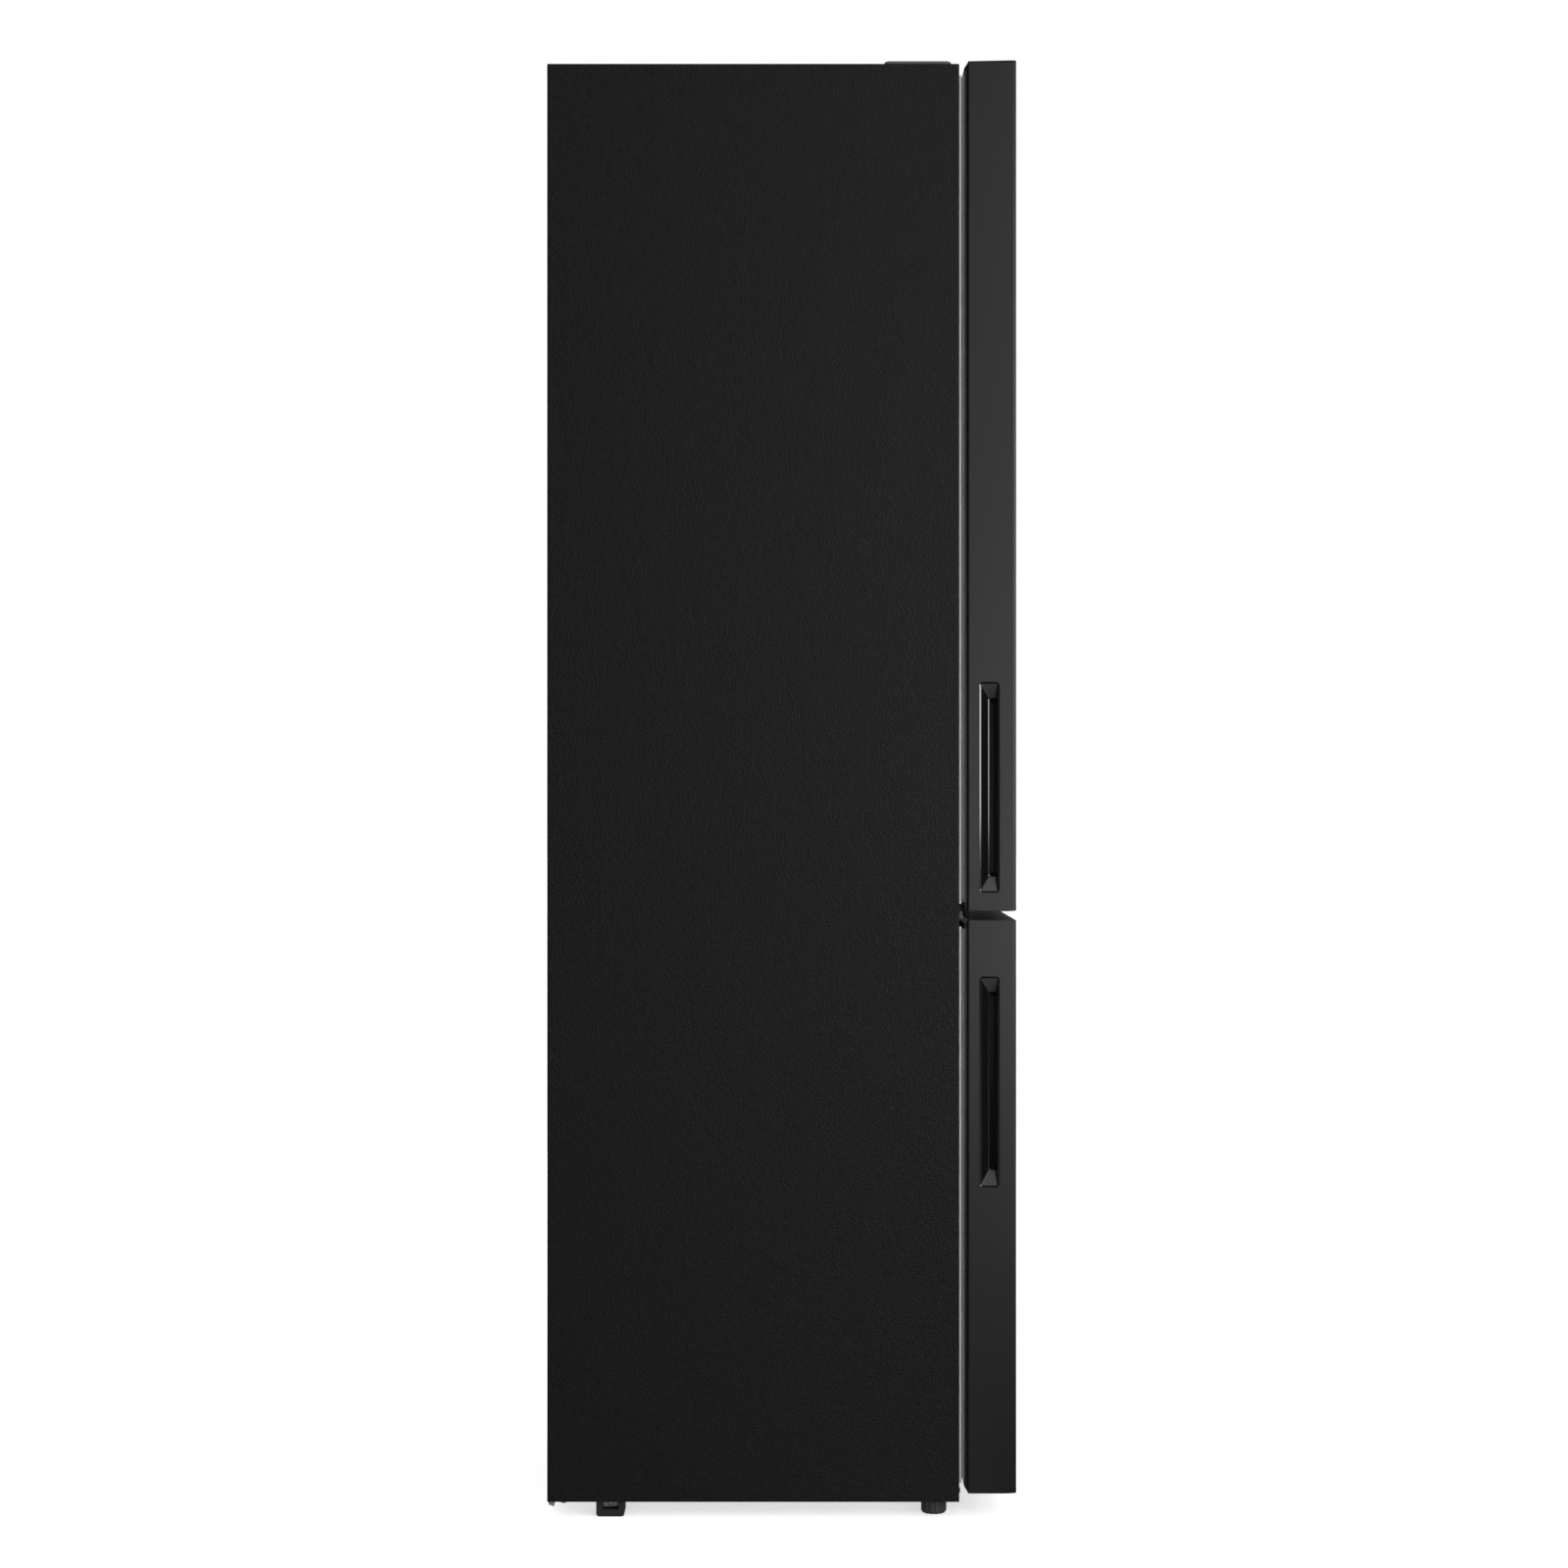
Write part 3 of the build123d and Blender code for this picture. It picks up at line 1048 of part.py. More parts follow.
# Freezer door
freezer_door_skin = door_skin(FREEZER_DOOR_BOTTOM, FREEZER_DOOR_TOP, 0, FREEZER_GRIP)
save(freezer_door_skin, "freezer_door_skin")
freezer_door_caps = door_caps(FREEZER_DOOR_BOTTOM, FREEZER_DOOR_TOP, 0, LOW_Z + PLATE + 0.3)
save(freezer_door_caps, "freezer_door_caps")
freezer_door_liner = door_liner(FREEZER_DOOR_BOTTOM, FREEZER_DOOR_TOP, 0, FREEZER_BORDER, FREEZER_DYKE, [])
save(freezer_door_liner, "freezer_door_liner")
freezer_door_insulation = door_insulation(
    FREEZER_DOOR_BOTTOM, FREEZER_DOOR_TOP, 0, FREEZER_BORDER, FREEZER_DYKE, freezer_door_caps,
    freezer_door_liner, FREEZER_GRIP,
)
save(freezer_door_insulation, "freezer_door_insulation")
freezer_door_seal = door_seal(FREEZER_DOOR_BOTTOM + 11, FREEZER_DOOR_TOP - 10)
save(freezer_door_seal, "freezer_door_seal")
freezer_door_grip = grip_cup(FREEZER_GRIP)
save(freezer_door_grip, "freezer_door_grip")

# Door bins that hang over ribs on the door liner and lift off upward
BIN_HALF = DYKE_HALF - DYKE_WIDTH - 0.5
for i, z in enumerate(BIN_Z):
    with BuildPart() as door_bin:
        with BuildSketch(plan(z)):
            with Locations((0, BIN_MID)):
                RectangleRounded(2 * BIN_HALF, BIN_DEPTH, 9)
        extrude(amount=BIN_HEIGHT[i])
        with BuildSketch(plan(z + TUB_WALL)):
            with Locations((0, BIN_MID)):
                RectangleRounded(2 * BIN_HALF - 2 * TUB_WALL, BIN_DEPTH - 2 * TUB_WALL, 7)
        extrude(amount=BIN_HEIGHT[i], mode=Mode.SUBTRACT)
        for sx in (-1, 1):
            boss_x = sorted((sx * (BIN_HALF - 1), sx * (BIN_HALF - 8)))
            block(boss_x, (BIN_MID - 10, BIN_MID + 10), (z + 1, z + BIN_HOOK + TUB_WALL))
            groove_x = sorted((sx * (BIN_HALF + 1), sx * (BIN_HALF - 5.2)))
            block(groove_x, (BIN_MID - 7.3, BIN_MID + 7.3), (z - 1, z + BIN_HOOK), Mode.SUBTRACT)
    save(door_bin, "door_bin_" + str(i + 1))
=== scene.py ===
"""Looks of a tall black refrigerator with a freezer below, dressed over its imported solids.

Lengths are in metres, as in the frame, and in millimetres where a comment says so.
The doors face -Y, the grips are on the -X side and the hinges on +X.
"""
import json
import math

import bpy
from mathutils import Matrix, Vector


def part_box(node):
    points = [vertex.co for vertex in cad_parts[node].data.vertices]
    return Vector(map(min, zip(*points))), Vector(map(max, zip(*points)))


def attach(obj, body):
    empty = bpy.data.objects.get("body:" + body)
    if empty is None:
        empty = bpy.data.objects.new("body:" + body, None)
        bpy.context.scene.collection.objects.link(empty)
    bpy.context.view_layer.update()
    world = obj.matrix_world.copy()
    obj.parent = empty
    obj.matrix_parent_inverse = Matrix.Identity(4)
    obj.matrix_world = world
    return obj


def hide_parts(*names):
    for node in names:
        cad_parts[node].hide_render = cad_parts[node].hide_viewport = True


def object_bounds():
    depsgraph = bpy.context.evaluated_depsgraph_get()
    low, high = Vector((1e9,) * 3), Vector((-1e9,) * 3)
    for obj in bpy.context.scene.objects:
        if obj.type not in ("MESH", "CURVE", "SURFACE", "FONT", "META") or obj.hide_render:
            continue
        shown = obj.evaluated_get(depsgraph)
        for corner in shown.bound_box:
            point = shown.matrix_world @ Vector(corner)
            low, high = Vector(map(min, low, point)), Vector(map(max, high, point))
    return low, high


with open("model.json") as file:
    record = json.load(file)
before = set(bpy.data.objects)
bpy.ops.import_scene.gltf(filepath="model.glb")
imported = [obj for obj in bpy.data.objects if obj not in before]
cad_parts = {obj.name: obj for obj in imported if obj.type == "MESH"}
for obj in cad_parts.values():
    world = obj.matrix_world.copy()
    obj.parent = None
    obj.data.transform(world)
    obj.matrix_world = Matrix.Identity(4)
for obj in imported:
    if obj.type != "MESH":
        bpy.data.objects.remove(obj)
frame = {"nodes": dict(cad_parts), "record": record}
cad_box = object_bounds()

MM = 0.001
NODES = frame["nodes"]
RECORD = frame["record"]
SLOT = {row["node"]: row["material_slot"] for row in RECORD["subparts"]}
BODY = {node: body for body, members in RECORD["behaviour"]["bodies"].items() for node in members}


# Small tools of the bench

def linear(code):
    """Linear colour of an sRGB hex value."""
    parts = [int(code[i:i + 2], 16) / 255 for i in (1, 3, 5)]
    return [p / 12.92 if p <= 0.04045 else ((p + 0.055) / 1.055) ** 2.4 for p in parts] + [1.0]


def per_mm(size):
    """Texture scale that gives features of this size in millimetres."""
    return 1000.0 / size


def add(tree, kind, settings=None, links=None):
    """Adds one node, sets its sockets and properties, and links its inputs."""
    node = tree.nodes.new(kind)
    for key, value in (settings or {}).items():
        if isinstance(key, int) or key in node.inputs:
            node.inputs[key].default_value = value
        else:
            setattr(node, key, value)
    for key, source in (links or {}).items():
        tree.links.new(source, node.inputs[key])
    return node


def begin(name):
    """A new material and its node tree, still empty."""
    material = bpy.data.materials.new(name)
    material.use_nodes = True
    material.node_tree.nodes.clear()
    return material, material.node_tree


# Sockets of the Mix node when it mixes two colours
FACTOR, COLOUR_A, COLOUR_B, MIXED = 0, 6, 7, 2


# Finishes of the outside

def grained_enamel():
    # Coil-coated steel sheet with a rolled leather grain: a deep black whose sheen breaks up into
    # fine creases. Such a grain is about 2 mm wide, drawn at 5 mm so that it shows.
    material, tree = begin("grained_black_enamel")
    place = add(tree, "ShaderNodeTexCoord").outputs["Object"]
    wander = 3 * MM
    crease_width = 0.22
    crease_share = 0.6
    drift = add(tree, "ShaderNodeTexNoise", {"Scale": per_mm(9), "Detail": 2.0}, {"Vector": place})
    bent = add(
        tree, "ShaderNodeVectorMath", {"operation": "MULTIPLY_ADD", 1: (wander, wander, wander)},
        {0: drift.outputs["Color"], 2: place},
    )
    cells = add(
        tree, "ShaderNodeTexVoronoi", {"feature": "DISTANCE_TO_EDGE", "Scale": per_mm(5)},
        {"Vector": bent.outputs["Vector"]},
    )
    crease = add(
        tree, "ShaderNodeMapRange",
        {"interpolation_type": "SMOOTHSTEP", "From Max": crease_width},
        {"Value": cells.outputs["Distance"]},
    )
    swell = add(tree, "ShaderNodeTexNoise", {"Scale": per_mm(14), "Detail": 3.0}, {"Vector": place})
    height = add(
        tree, "ShaderNodeMath", {"operation": "MULTIPLY_ADD", 1: crease_share},
        {0: crease.outputs["Result"], 2: swell.outputs["Fac"]},
    )
    grain = add(
        tree, "ShaderNodeBump", {"Strength": 0.8, "Distance": 0.5 * MM},
        {"Height": height.outputs["Value"]},
    )
    enamel = add(
        tree, "ShaderNodeBsdfPrincipled",
        {"Base Color": linear("#0A0A0B"), "Roughness": 0.5, "Specular IOR Level": 0.25},
        {"Normal": grain.outputs["Normal"]},
    )
    add(tree, "ShaderNodeOutputMaterial", links={"Surface": enamel.outputs["BSDF"]})
    return material


def satin_enamel(name, code, roughness):
    # Smooth satin enamel of the doors: soft broad reflections over a barely wavy sprayed surface.
    material, tree = begin(name)
    place = add(tree, "ShaderNodeTexCoord").outputs["Object"]
    peel = add(tree, "ShaderNodeTexNoise", {"Scale": per_mm(2.5), "Detail": 1.0}, {"Vector": place})
    waves = add(
        tree, "ShaderNodeBump", {"Strength": 0.3, "Distance": 0.01 * MM},
        {"Height": peel.outputs["Fac"]},
    )
    enamel = add(
        tree, "ShaderNodeBsdfPrincipled", {"Base Color": linear(code), "Roughness": roughness},
        {"Normal": waves.outputs["Normal"]},
    )
    add(tree, "ShaderNodeOutputMaterial", links={"Surface": enamel.outputs["BSDF"]})
    return material


def gloss_moulding(name, code, roughness):
    # Polished injection moulding: mirror-black with a trace of flow in the surface.
    material, tree = begin(name)
    place = add(tree, "ShaderNodeTexCoord").outputs["Object"]
    flow = add(tree, "ShaderNodeTexNoise", {"Scale": per_mm(22), "Detail": 1.0}, {"Vector": place})
    waves = add(
        tree, "ShaderNodeBump", {"Strength": 0.2, "Distance": 0.04 * MM},
        {"Height": flow.outputs["Fac"]},
    )
    plastic = add(
        tree, "ShaderNodeBsdfPrincipled", {"Base Color": linear(code), "Roughness": roughness},
        {"Normal": waves.outputs["Normal"]},
    )
    add(tree, "ShaderNodeOutputMaterial", links={"Surface": plastic.outputs["BSDF"]})
    return material


def grained_moulding(name, code, roughness, grain=0.9):
    # Moulding from a spark-eroded tool: an even dry grain, in millimetres, that kills sharp
    # reflections.
    material, tree = begin(name)
    place = add(tree, "ShaderNodeTexCoord").outputs["Object"]
    pits = add(
        tree, "ShaderNodeTexNoise", {"Scale": per_mm(grain), "Detail": 3.0}, {"Vector": place},
    )
    skin = add(
        tree, "ShaderNodeBump", {"Strength": 0.35, "Distance": 0.05 * MM},
        {"Height": pits.outputs["Fac"]},
    )
    plastic = add(
        tree, "ShaderNodeBsdfPrincipled", {"Base Color": linear(code), "Roughness": roughness},
        {"Normal": skin.outputs["Normal"]},
    )
    add(tree, "ShaderNodeOutputMaterial", links={"Surface": plastic.outputs["BSDF"]})
    return material


def soft_seal():
    # Extruded soft PVC: the magnet pocket against the cabinet is painted near white as painted
    # light, and the folded web that joins it to the door is painted greyer as painted shade.
    material, tree = begin("soft_seal_grey")
    place = add(tree, "ShaderNodeTexCoord").outputs["Object"]
    # Depth in Y past which the seal is painted near white as painted light; nearer the door it is
    # painted greyer as painted shade
    painted_light_from = -246.4 * MM
    depth = add(tree, "ShaderNodeSeparateXYZ", links={"Vector": place})
    painted_light_mask = add(
        tree, "ShaderNodeMath", {"operation": "GREATER_THAN", 1: painted_light_from},
        {0: depth.outputs["Y"]},
    )
    # Painted shade on the web, painted light on the pocket
    tone = add(
        tree, "ShaderNodeMix",
        {"data_type": "RGBA", COLOUR_A: linear("#DCDDDE"), COLOUR_B: linear("#F8F8F6")},
        {FACTOR: painted_light_mask.outputs["Value"]},
    )
    pores = add(
        tree, "ShaderNodeTexNoise", {"Scale": per_mm(1.2), "Detail": 2.0}, {"Vector": place},
    )
    skin = add(
        tree, "ShaderNodeBump", {"Strength": 0.3, "Distance": 0.02 * MM},
        {"Height": pores.outputs["Fac"]},
    )
    rubber = add(
        tree, "ShaderNodeBsdfPrincipled", {"Roughness": 0.5},
        {"Base Color": tone.outputs[MIXED], "Normal": skin.outputs["Normal"]},
    )
    add(tree, "ShaderNodeOutputMaterial", links={"Surface": rubber.outputs["BSDF"]})
    return material


def coated_sheet():
    # Thin grey back coat on the rear sheet, with the faint streaks of a rolled coating.
    material, tree = begin("rear_coated_sheet")
    place = add(tree, "ShaderNodeTexCoord").outputs["Object"]
    drawn = add(tree, "ShaderNodeMapping", {"Scale": (1.0, 1.0, 0.05)}, {"Vector": place})
    streak = add(
        tree, "ShaderNodeTexNoise", {"Scale": per_mm(12), "Detail": 4.0},
        {"Vector": drawn.outputs["Vector"]},
    )
    tone = add(
        tree, "ShaderNodeMix",
        {"data_type": "RGBA", COLOUR_A: linear("#55575A"), COLOUR_B: linear("#606265")},
        {FACTOR: streak.outputs["Fac"]},
    )
    ridges = add(
        tree, "ShaderNodeBump", {"Strength": 0.2, "Distance": 0.02 * MM},
        {"Height": streak.outputs["Fac"]},
    )
    coating = add(
        tree, "ShaderNodeBsdfPrincipled", {"Roughness": 0.48},
        {"Base Color": tone.outputs[MIXED], "Normal": ridges.outputs["Normal"]},
    )
    add(tree, "ShaderNodeOutputMaterial", links={"Surface": coating.outputs["BSDF"]})
    return material


def galvanised_sheet():
    # Hot-dip zinc: flat crystals of about a centimetre, each with its own dull gloss.
    material, tree = begin("galvanised_steel")
    place = add(tree, "ShaderNodeTexCoord").outputs["Object"]
    flakes = add(tree, "ShaderNodeTexVoronoi", {"Scale": per_mm(9)}, {"Vector": place})
    gloss = add(
        tree, "ShaderNodeMapRange", {"To Min": 0.32, "To Max": 0.52},
        {"Value": flakes.outputs["Color"]},
    )
    tone = add(
        tree, "ShaderNodeMix",
        {"data_type": "RGBA", COLOUR_A: linear("#A5A8AB"), COLOUR_B: linear("#BFC1C3")},
        {FACTOR: flakes.outputs["Color"]},
    )
    zinc = add(
        tree, "ShaderNodeBsdfPrincipled", {"Metallic": 1.0},
        {"Base Color": tone.outputs[MIXED], "Roughness": gloss.outputs["Result"]},
    )
    add(tree, "ShaderNodeOutputMaterial", links={"Surface": zinc.outputs["BSDF"]})
    return material


def drawn_metal(name, code, roughness, along):
    # Rolled or drawn metal: fine lines along its length stretch the highlights across them.
    material, tree = begin(name)
    place = add(tree, "ShaderNodeTexCoord").outputs["Object"]
    lines = add(tree, "ShaderNodeMapping", {"Scale": along}, {"Vector": place})
    scratch = add(
        tree, "ShaderNodeTexNoise", {"Scale": per_mm(0.8), "Detail": 2.0},
        {"Vector": lines.outputs["Vector"]},
    )
    grooves = add(
        tree, "ShaderNodeBump", {"Strength": 0.4, "Distance": 0.01 * MM},
        {"Height": scratch.outputs["Fac"]},
    )
    metal = add(
        tree, "ShaderNodeBsdfPrincipled",
        {"Base Color": linear(code), "Metallic": 1.0, "Roughness": roughness},
        {"Normal": grooves.outputs["Normal"]},
    )
    add(tree, "ShaderNodeOutputMaterial", links={"Surface": metal.outputs["BSDF"]})
    return material


def enamelled_casting():
    # Dipped black enamel on the compressor shell: glossy, with the sags of a thick coat.
    material, tree = begin("dipped_black_enamel")
    place = add(tree, "ShaderNodeTexCoord").outputs["Object"]
    sag = add(tree, "ShaderNodeTexNoise", {"Scale": per_mm(18), "Detail": 2.0}, {"Vector": place})
    runs = add(
        tree, "ShaderNodeBump", {"Strength": 0.4, "Distance": 0.15 * MM},
        {"Height": sag.outputs["Fac"]},
    )
    enamel = add(
        tree, "ShaderNodeBsdfPrincipled", {"Base Color": linear("#151516"), "Roughness": 0.28},
        {"Normal": runs.outputs["Normal"]},
    )
    add(tree, "ShaderNodeOutputMaterial", links={"Surface": enamel.outputs["BSDF"]})
    return material


# Finishes of the inside

def white_liner():
    # Vacuum-formed high-impact polystyrene: bright white with a soft shine and a faint stretched
    # texture.
    material, tree = begin("white_polystyrene")
    place = add(tree, "ShaderNodeTexCoord").outputs["Object"]
    stretch = add(
        tree, "ShaderNodeTexNoise", {"Scale": per_mm(6), "Detail": 2.0}, {"Vector": place},
    )
    skin = add(
        tree, "ShaderNodeBump", {"Strength": 0.25, "Distance": 0.03 * MM},
        {"Height": stretch.outputs["Fac"]},
    )
    plastic = add(
        tree, "ShaderNodeBsdfPrincipled", {"Base Color": linear("#DFE0DF"), "Roughness": 0.35},
        {"Normal": skin.outputs["Normal"]},
    )
    add(tree, "ShaderNodeOutputMaterial", links={"Surface": plastic.outputs["BSDF"]})
    return material


def shelf_glass():
    # Toughened float glass: clear from above, green where the eye looks along the pane.
    material, tree = begin("toughened_float_glass")
    glass = add(
        tree, "ShaderNodeBsdfPrincipled",
        {"Base Color": linear("#F4FAF8"), "Roughness": 0.02, "IOR": 1.52,
         "Transmission Weight": 1.0},
    )
    tint = add(
        tree, "ShaderNodeVolumeAbsorption", {"Color": linear("#9FD8C4"), "Density": 9.0},
    )
    add(
        tree, "ShaderNodeOutputMaterial",
        links={"Surface": glass.outputs["BSDF"], "Volume": tint.outputs["Volume"]},
    )
    return material


def clear_moulding():
    # Clear polystyrene: bright edges, a faint milkiness with a cool tint, and slightly wavy walls.
    material, tree = begin("clear_polystyrene")
    place = add(tree, "ShaderNodeTexCoord").outputs["Object"]
    flow = add(tree, "ShaderNodeTexNoise", {"Scale": per_mm(30), "Detail": 1.0}, {"Vector": place})
    waves = add(
        tree, "ShaderNodeBump", {"Strength": 0.2, "Distance": 0.1 * MM},
        {"Height": flow.outputs["Fac"]},
    )
    plastic = add(
        tree, "ShaderNodeBsdfPrincipled",
        {"Base Color": linear("#F6FBFC"), "Roughness": 0.1, "IOR": 1.49,
         "Transmission Weight": 0.82},
        {"Normal": waves.outputs["Normal"]},
    )
    add(tree, "ShaderNodeOutputMaterial", links={"Surface": plastic.outputs["BSDF"]})
    return material


def milky_lens():
    # Diffusing lamp lens, lit from behind by the lamp board.
    material, tree = begin("milky_lamp_lens")
    lens = add(
        tree, "ShaderNodeBsdfPrincipled",
        {"Base Color": linear("#F6F5EE"), "Roughness": 0.35, "Emission Color": linear("#FFF9EA"),
         "Emission Strength": 8.0},
    )
    add(tree, "ShaderNodeOutputMaterial", links={"Surface": lens.outputs["BSDF"]})
    return material


def rigid_foam():
    # Poured polyurethane foam: cream, matt and full of fine bubbles.
    material, tree = begin("cream_rigid_foam")
    place = add(tree, "ShaderNodeTexCoord").outputs["Object"]
    bubbles = add(tree, "ShaderNodeTexVoronoi", {"Scale": per_mm(2)}, {"Vector": place})
    pits = add(
        tree, "ShaderNodeBump", {"Strength": 0.5, "Distance": 0.3 * MM},
        {"Height": bubbles.outputs["Distance"]},
    )
    foam = add(
        tree, "ShaderNodeBsdfPrincipled", {"Base Color": linear("#E2D5A6"), "Roughness": 0.9},
        {"Normal": pits.outputs["Normal"]},
    )
    add(tree, "ShaderNodeOutputMaterial", links={"Surface": foam.outputs["BSDF"]})
    return material


# Directions in which drawn metal has its lines
ALONG_X = (0.02, 1.0, 1.0)
ALONG_FINS = (1.0, 1.0, 0.05)
ALONG_TUBES = (1.0, 1.0, 0.1)

FINISH = {
    "case_black": grained_enamel(),
    "door_black": satin_enamel("satin_black_enamel", "#0D0D0E", roughness=0.33),
    "cap_black": gloss_moulding("gloss_black_cap", "#0E0E0F", roughness=0.16),
    "grip_gloss": gloss_moulding("gloss_black_grip", "#111112", roughness=0.1),
    "cover_grey": grained_moulding("dark_grey_moulding", "#4A4A4C", roughness=0.55),
    "foot_black": grained_moulding("black_foot_moulding", "#363637", roughness=0.5),
    "dark_plastic": grained_moulding("black_grained_moulding", "#19191A", roughness=0.55),
    "knob_grey": grained_moulding("grey_knob_moulding", "#A9ABAD", roughness=0.45),
    "fan_white": grained_moulding("pale_fan_moulding", "#D6D7D6", roughness=0.5),
    "mount_rubber": grained_moulding("black_rubber", "#161616", roughness=0.75, grain=1.6),
    "seal_grey": soft_seal(),
    "rear_grey": coated_sheet(),
    "zinc_steel": galvanised_sheet(),
    "hinge_steel": grained_moulding("black_coated_plate", "#1B1B1C", roughness=0.42, grain=0.7),
    "trim_silver": drawn_metal("satin_aluminium", "#C6C8CA", roughness=0.34, along=ALONG_X),
    "coil_aluminium": drawn_metal("bare_aluminium", "#BFC2C4", roughness=0.4, along=ALONG_FINS),
    "copper": drawn_metal("bare_copper", "#B5714B", roughness=0.32, along=ALONG_TUBES),
    "compressor_black": enamelled_casting(),
    "liner_white": white_liner(),
    "lamp": milky_lens(),
    "shelf_glass": shelf_glass(),
    "clear_plastic": clear_moulding(),
    "foam": rigid_foam(),
}

# A lighter black for the grips' ramps than for the gloss cup: a painted sheen where the ramps face
# the lamps
RAMP_PAINTED_SHEEN = satin_enamel("grip_ramp_painted_sheen", "#2F2F30", roughness=0.4)

for node, solid in NODES.items():
    solid.data.materials.clear()
    solid.data.materials.append(FINISH[SLOT[node]])
    flats = solid.modifiers.new("flats", "WEIGHTED_NORMAL")
    flats.keep_sharp = True


# Work at the bench: picking, copying and rounding

MERGE_WITHIN = 0.02 * MM
FLAT_WITHIN = math.radians(0.3)
SMOOTH_WITHIN = math.radians(30)


def pick(piece):
    """Selects one piece alone and makes it the active one."""
    bpy.ops.object.select_all(action="DESELECT")
    piece.select_set(True)
    bpy.context.view_layer.objects.active = piece


def traced(node, name):
    """A copy of a solid with its loose triangles merged into clean faces."""
    piece = bpy.data.objects.new(name, NODES[node].data.copy())
    piece.data.name = name
    bpy.context.scene.collection.objects.link(piece)
    pick(piece)
    bpy.ops.mesh.customdata_custom_splitnormals_clear()
    bpy.ops.object.mode_set(mode="EDIT")
    bpy.ops.mesh.select_all(action="SELECT")
    bpy.ops.mesh.remove_doubles(threshold=MERGE_WITHIN)
    bpy.ops.mesh.dissolve_limited(angle_limit=FLAT_WITHIN)
    bpy.ops.object.mode_set(mode="OBJECT")
    return piece


def smoothed(piece):
    """Shades a piece smooth and keeps its flats flat right up to their rounded edges."""
    pick(piece)
    bpy.ops.object.shade_smooth_by_angle(angle=SMOOTH_WITHIN)
    flats = piece.modifiers.new("flats", "WEIGHTED_NORMAL")
    flats.keep_sharp = True
    bpy.ops.object.modifier_apply(modifier=flats.name)
    return piece


def rounded(piece, width, segments=2, angle=32):
    """Rounds the edges sharper than an angle by a width in millimetres and smooths what is left."""
    pick(piece)
    bevel = piece.modifiers.new("edges", "BEVEL")
    bevel.width = width * MM
    bevel.segments = segments
    bevel.limit_method = "ANGLE"
    bevel.angle_limit = math.radians(angle)
    bevel.miter_outer = "MITER_ARC"
    bpy.ops.object.modifier_apply(modifier=bevel.name)
    return smoothed(piece)


def joined(pieces, name):
    """Makes one object of several and gives it a name."""
    bpy.ops.object.select_all(action="DESELECT")
    for piece in pieces:
        piece.select_set(True)
    bpy.context.view_layer.objects.active = pieces[0]
    if len(pieces) > 1:
        bpy.ops.object.join()
    pieces[0].name = name
    pieces[0].data.name = name
    return pieces[0]


def bar(size, centre, edge):
    """A small bar with softened edges; size and edge in millimetres, its place in metres."""
    bpy.ops.object.select_all(action="DESELECT")
    bpy.ops.mesh.primitive_cube_add(size=1.0)
    piece = bpy.context.active_object
    bpy.ops.object.mode_set(mode="EDIT")
    bpy.ops.mesh.select_all(action="SELECT")
    bpy.ops.transform.resize(value=[side * MM for side in size])
    bpy.ops.mesh.bevel(offset=edge * MM, segments=2, affect="EDGES")
    bpy.ops.transform.translate(value=centre)
    bpy.ops.object.mode_set(mode="OBJECT")
    return piece


def stand_for(piece, node):
    """Shows a piece in the place of a solid, on the same body and in the same finish."""
    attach(piece, BODY[node])
    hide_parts(node)


# Pieces whose edges were left sharp in the solids, with the radius in millimetres that moulding
# or pressing gives them
EDGE_RADIUS = {
    "fridge_door_caps": 0.5, "freezer_door_caps": 0.5, "hinge_covers": 1.0,
    "front_foot_left": 0.5, "front_foot_right": 0.5, "rear_feet": 0.8,
    "top_hinge": 0.5, "middle_hinge": 0.5, "bottom_hinge": 0.5,
    "compressor_cover": 0.6, "terminal_box": 0.8,
    "fridge_shelves": 0.6, "crisper_cover": 0.6, "freezer_shelves": 0.6, "shelf_trims": 0.5,
    "air_duct": 0.8, "control_box": 1.0, "temperature_knob": 0.8, "evaporator_cover": 0.6,
    "crisper_left": 0.6, "crisper_right": 0.6,
    "freezer_drawer_1": 0.6, "freezer_drawer_2": 0.6, "freezer_drawer_3": 0.6,
    "door_bin_1": 0.6, "door_bin_2": 0.6, "door_bin_3": 0.6,
    "fridge_door_seal": 0.3, "freezer_door_seal": 0.3,
}
for node, radius in EDGE_RADIUS.items():
    stand_for(rounded(traced(node, node + "_piece"), radius, segments=3), node)


# Side grips: gloss cups with softened edges, in millimetres and degrees, and ramps at both ends,
# known by how far their faces look outwards and up or down, painted a lighter black as a painted
# sheen

GRIP_EDGE = 0.35
GRIP_EDGE_ANGLE = 17
RAMP_OUTWARDS = 0.7
RAMP_UPWARDS = 0.45


def side_grip(node):
    """Rounds one grip cup and paints its two ramps a lighter black, as a painted sheen."""
    piece = rounded(traced(node, node + "_piece"), GRIP_EDGE, segments=3, angle=GRIP_EDGE_ANGLE)
    piece.data.materials.append(RAMP_PAINTED_SHEEN)
    # Faces that look outwards and up or down take the painted sheen
    for face in piece.data.polygons:
        face.select = face.normal.x < -RAMP_OUTWARDS and abs(face.normal.z) > RAMP_UPWARDS
    piece.active_material_index = 1
    bpy.ops.object.mode_set(mode="EDIT")
    bpy.ops.object.material_slot_assign()
    bpy.ops.object.mode_set(mode="OBJECT")
    stand_for(piece, node)


side_grip("fridge_door_grip")
side_grip("freezer_door_grip")


# Pan-head screws with a rolled edge and a cross recess; sizes in millimetres

SCREW_RADIUS = 4.2
SCREW_HEIGHT = 2.4
SCREW_SIDES = 32
SCREW_EDGE = 0.12
SCREW_EDGE_ANGLE = 40
RECESS_LENGTH = 4.6
RECESS_WIDTH = 1.1
RECESS_DEPTH = 1.3
RECESS_EDGE = 0.1

# Steps of the head from its seat up: share of the height, and how far the rim draws in
SCREW_STEPS = ((0.45, 1.0), (0.3, 0.9), (0.25, 0.75))


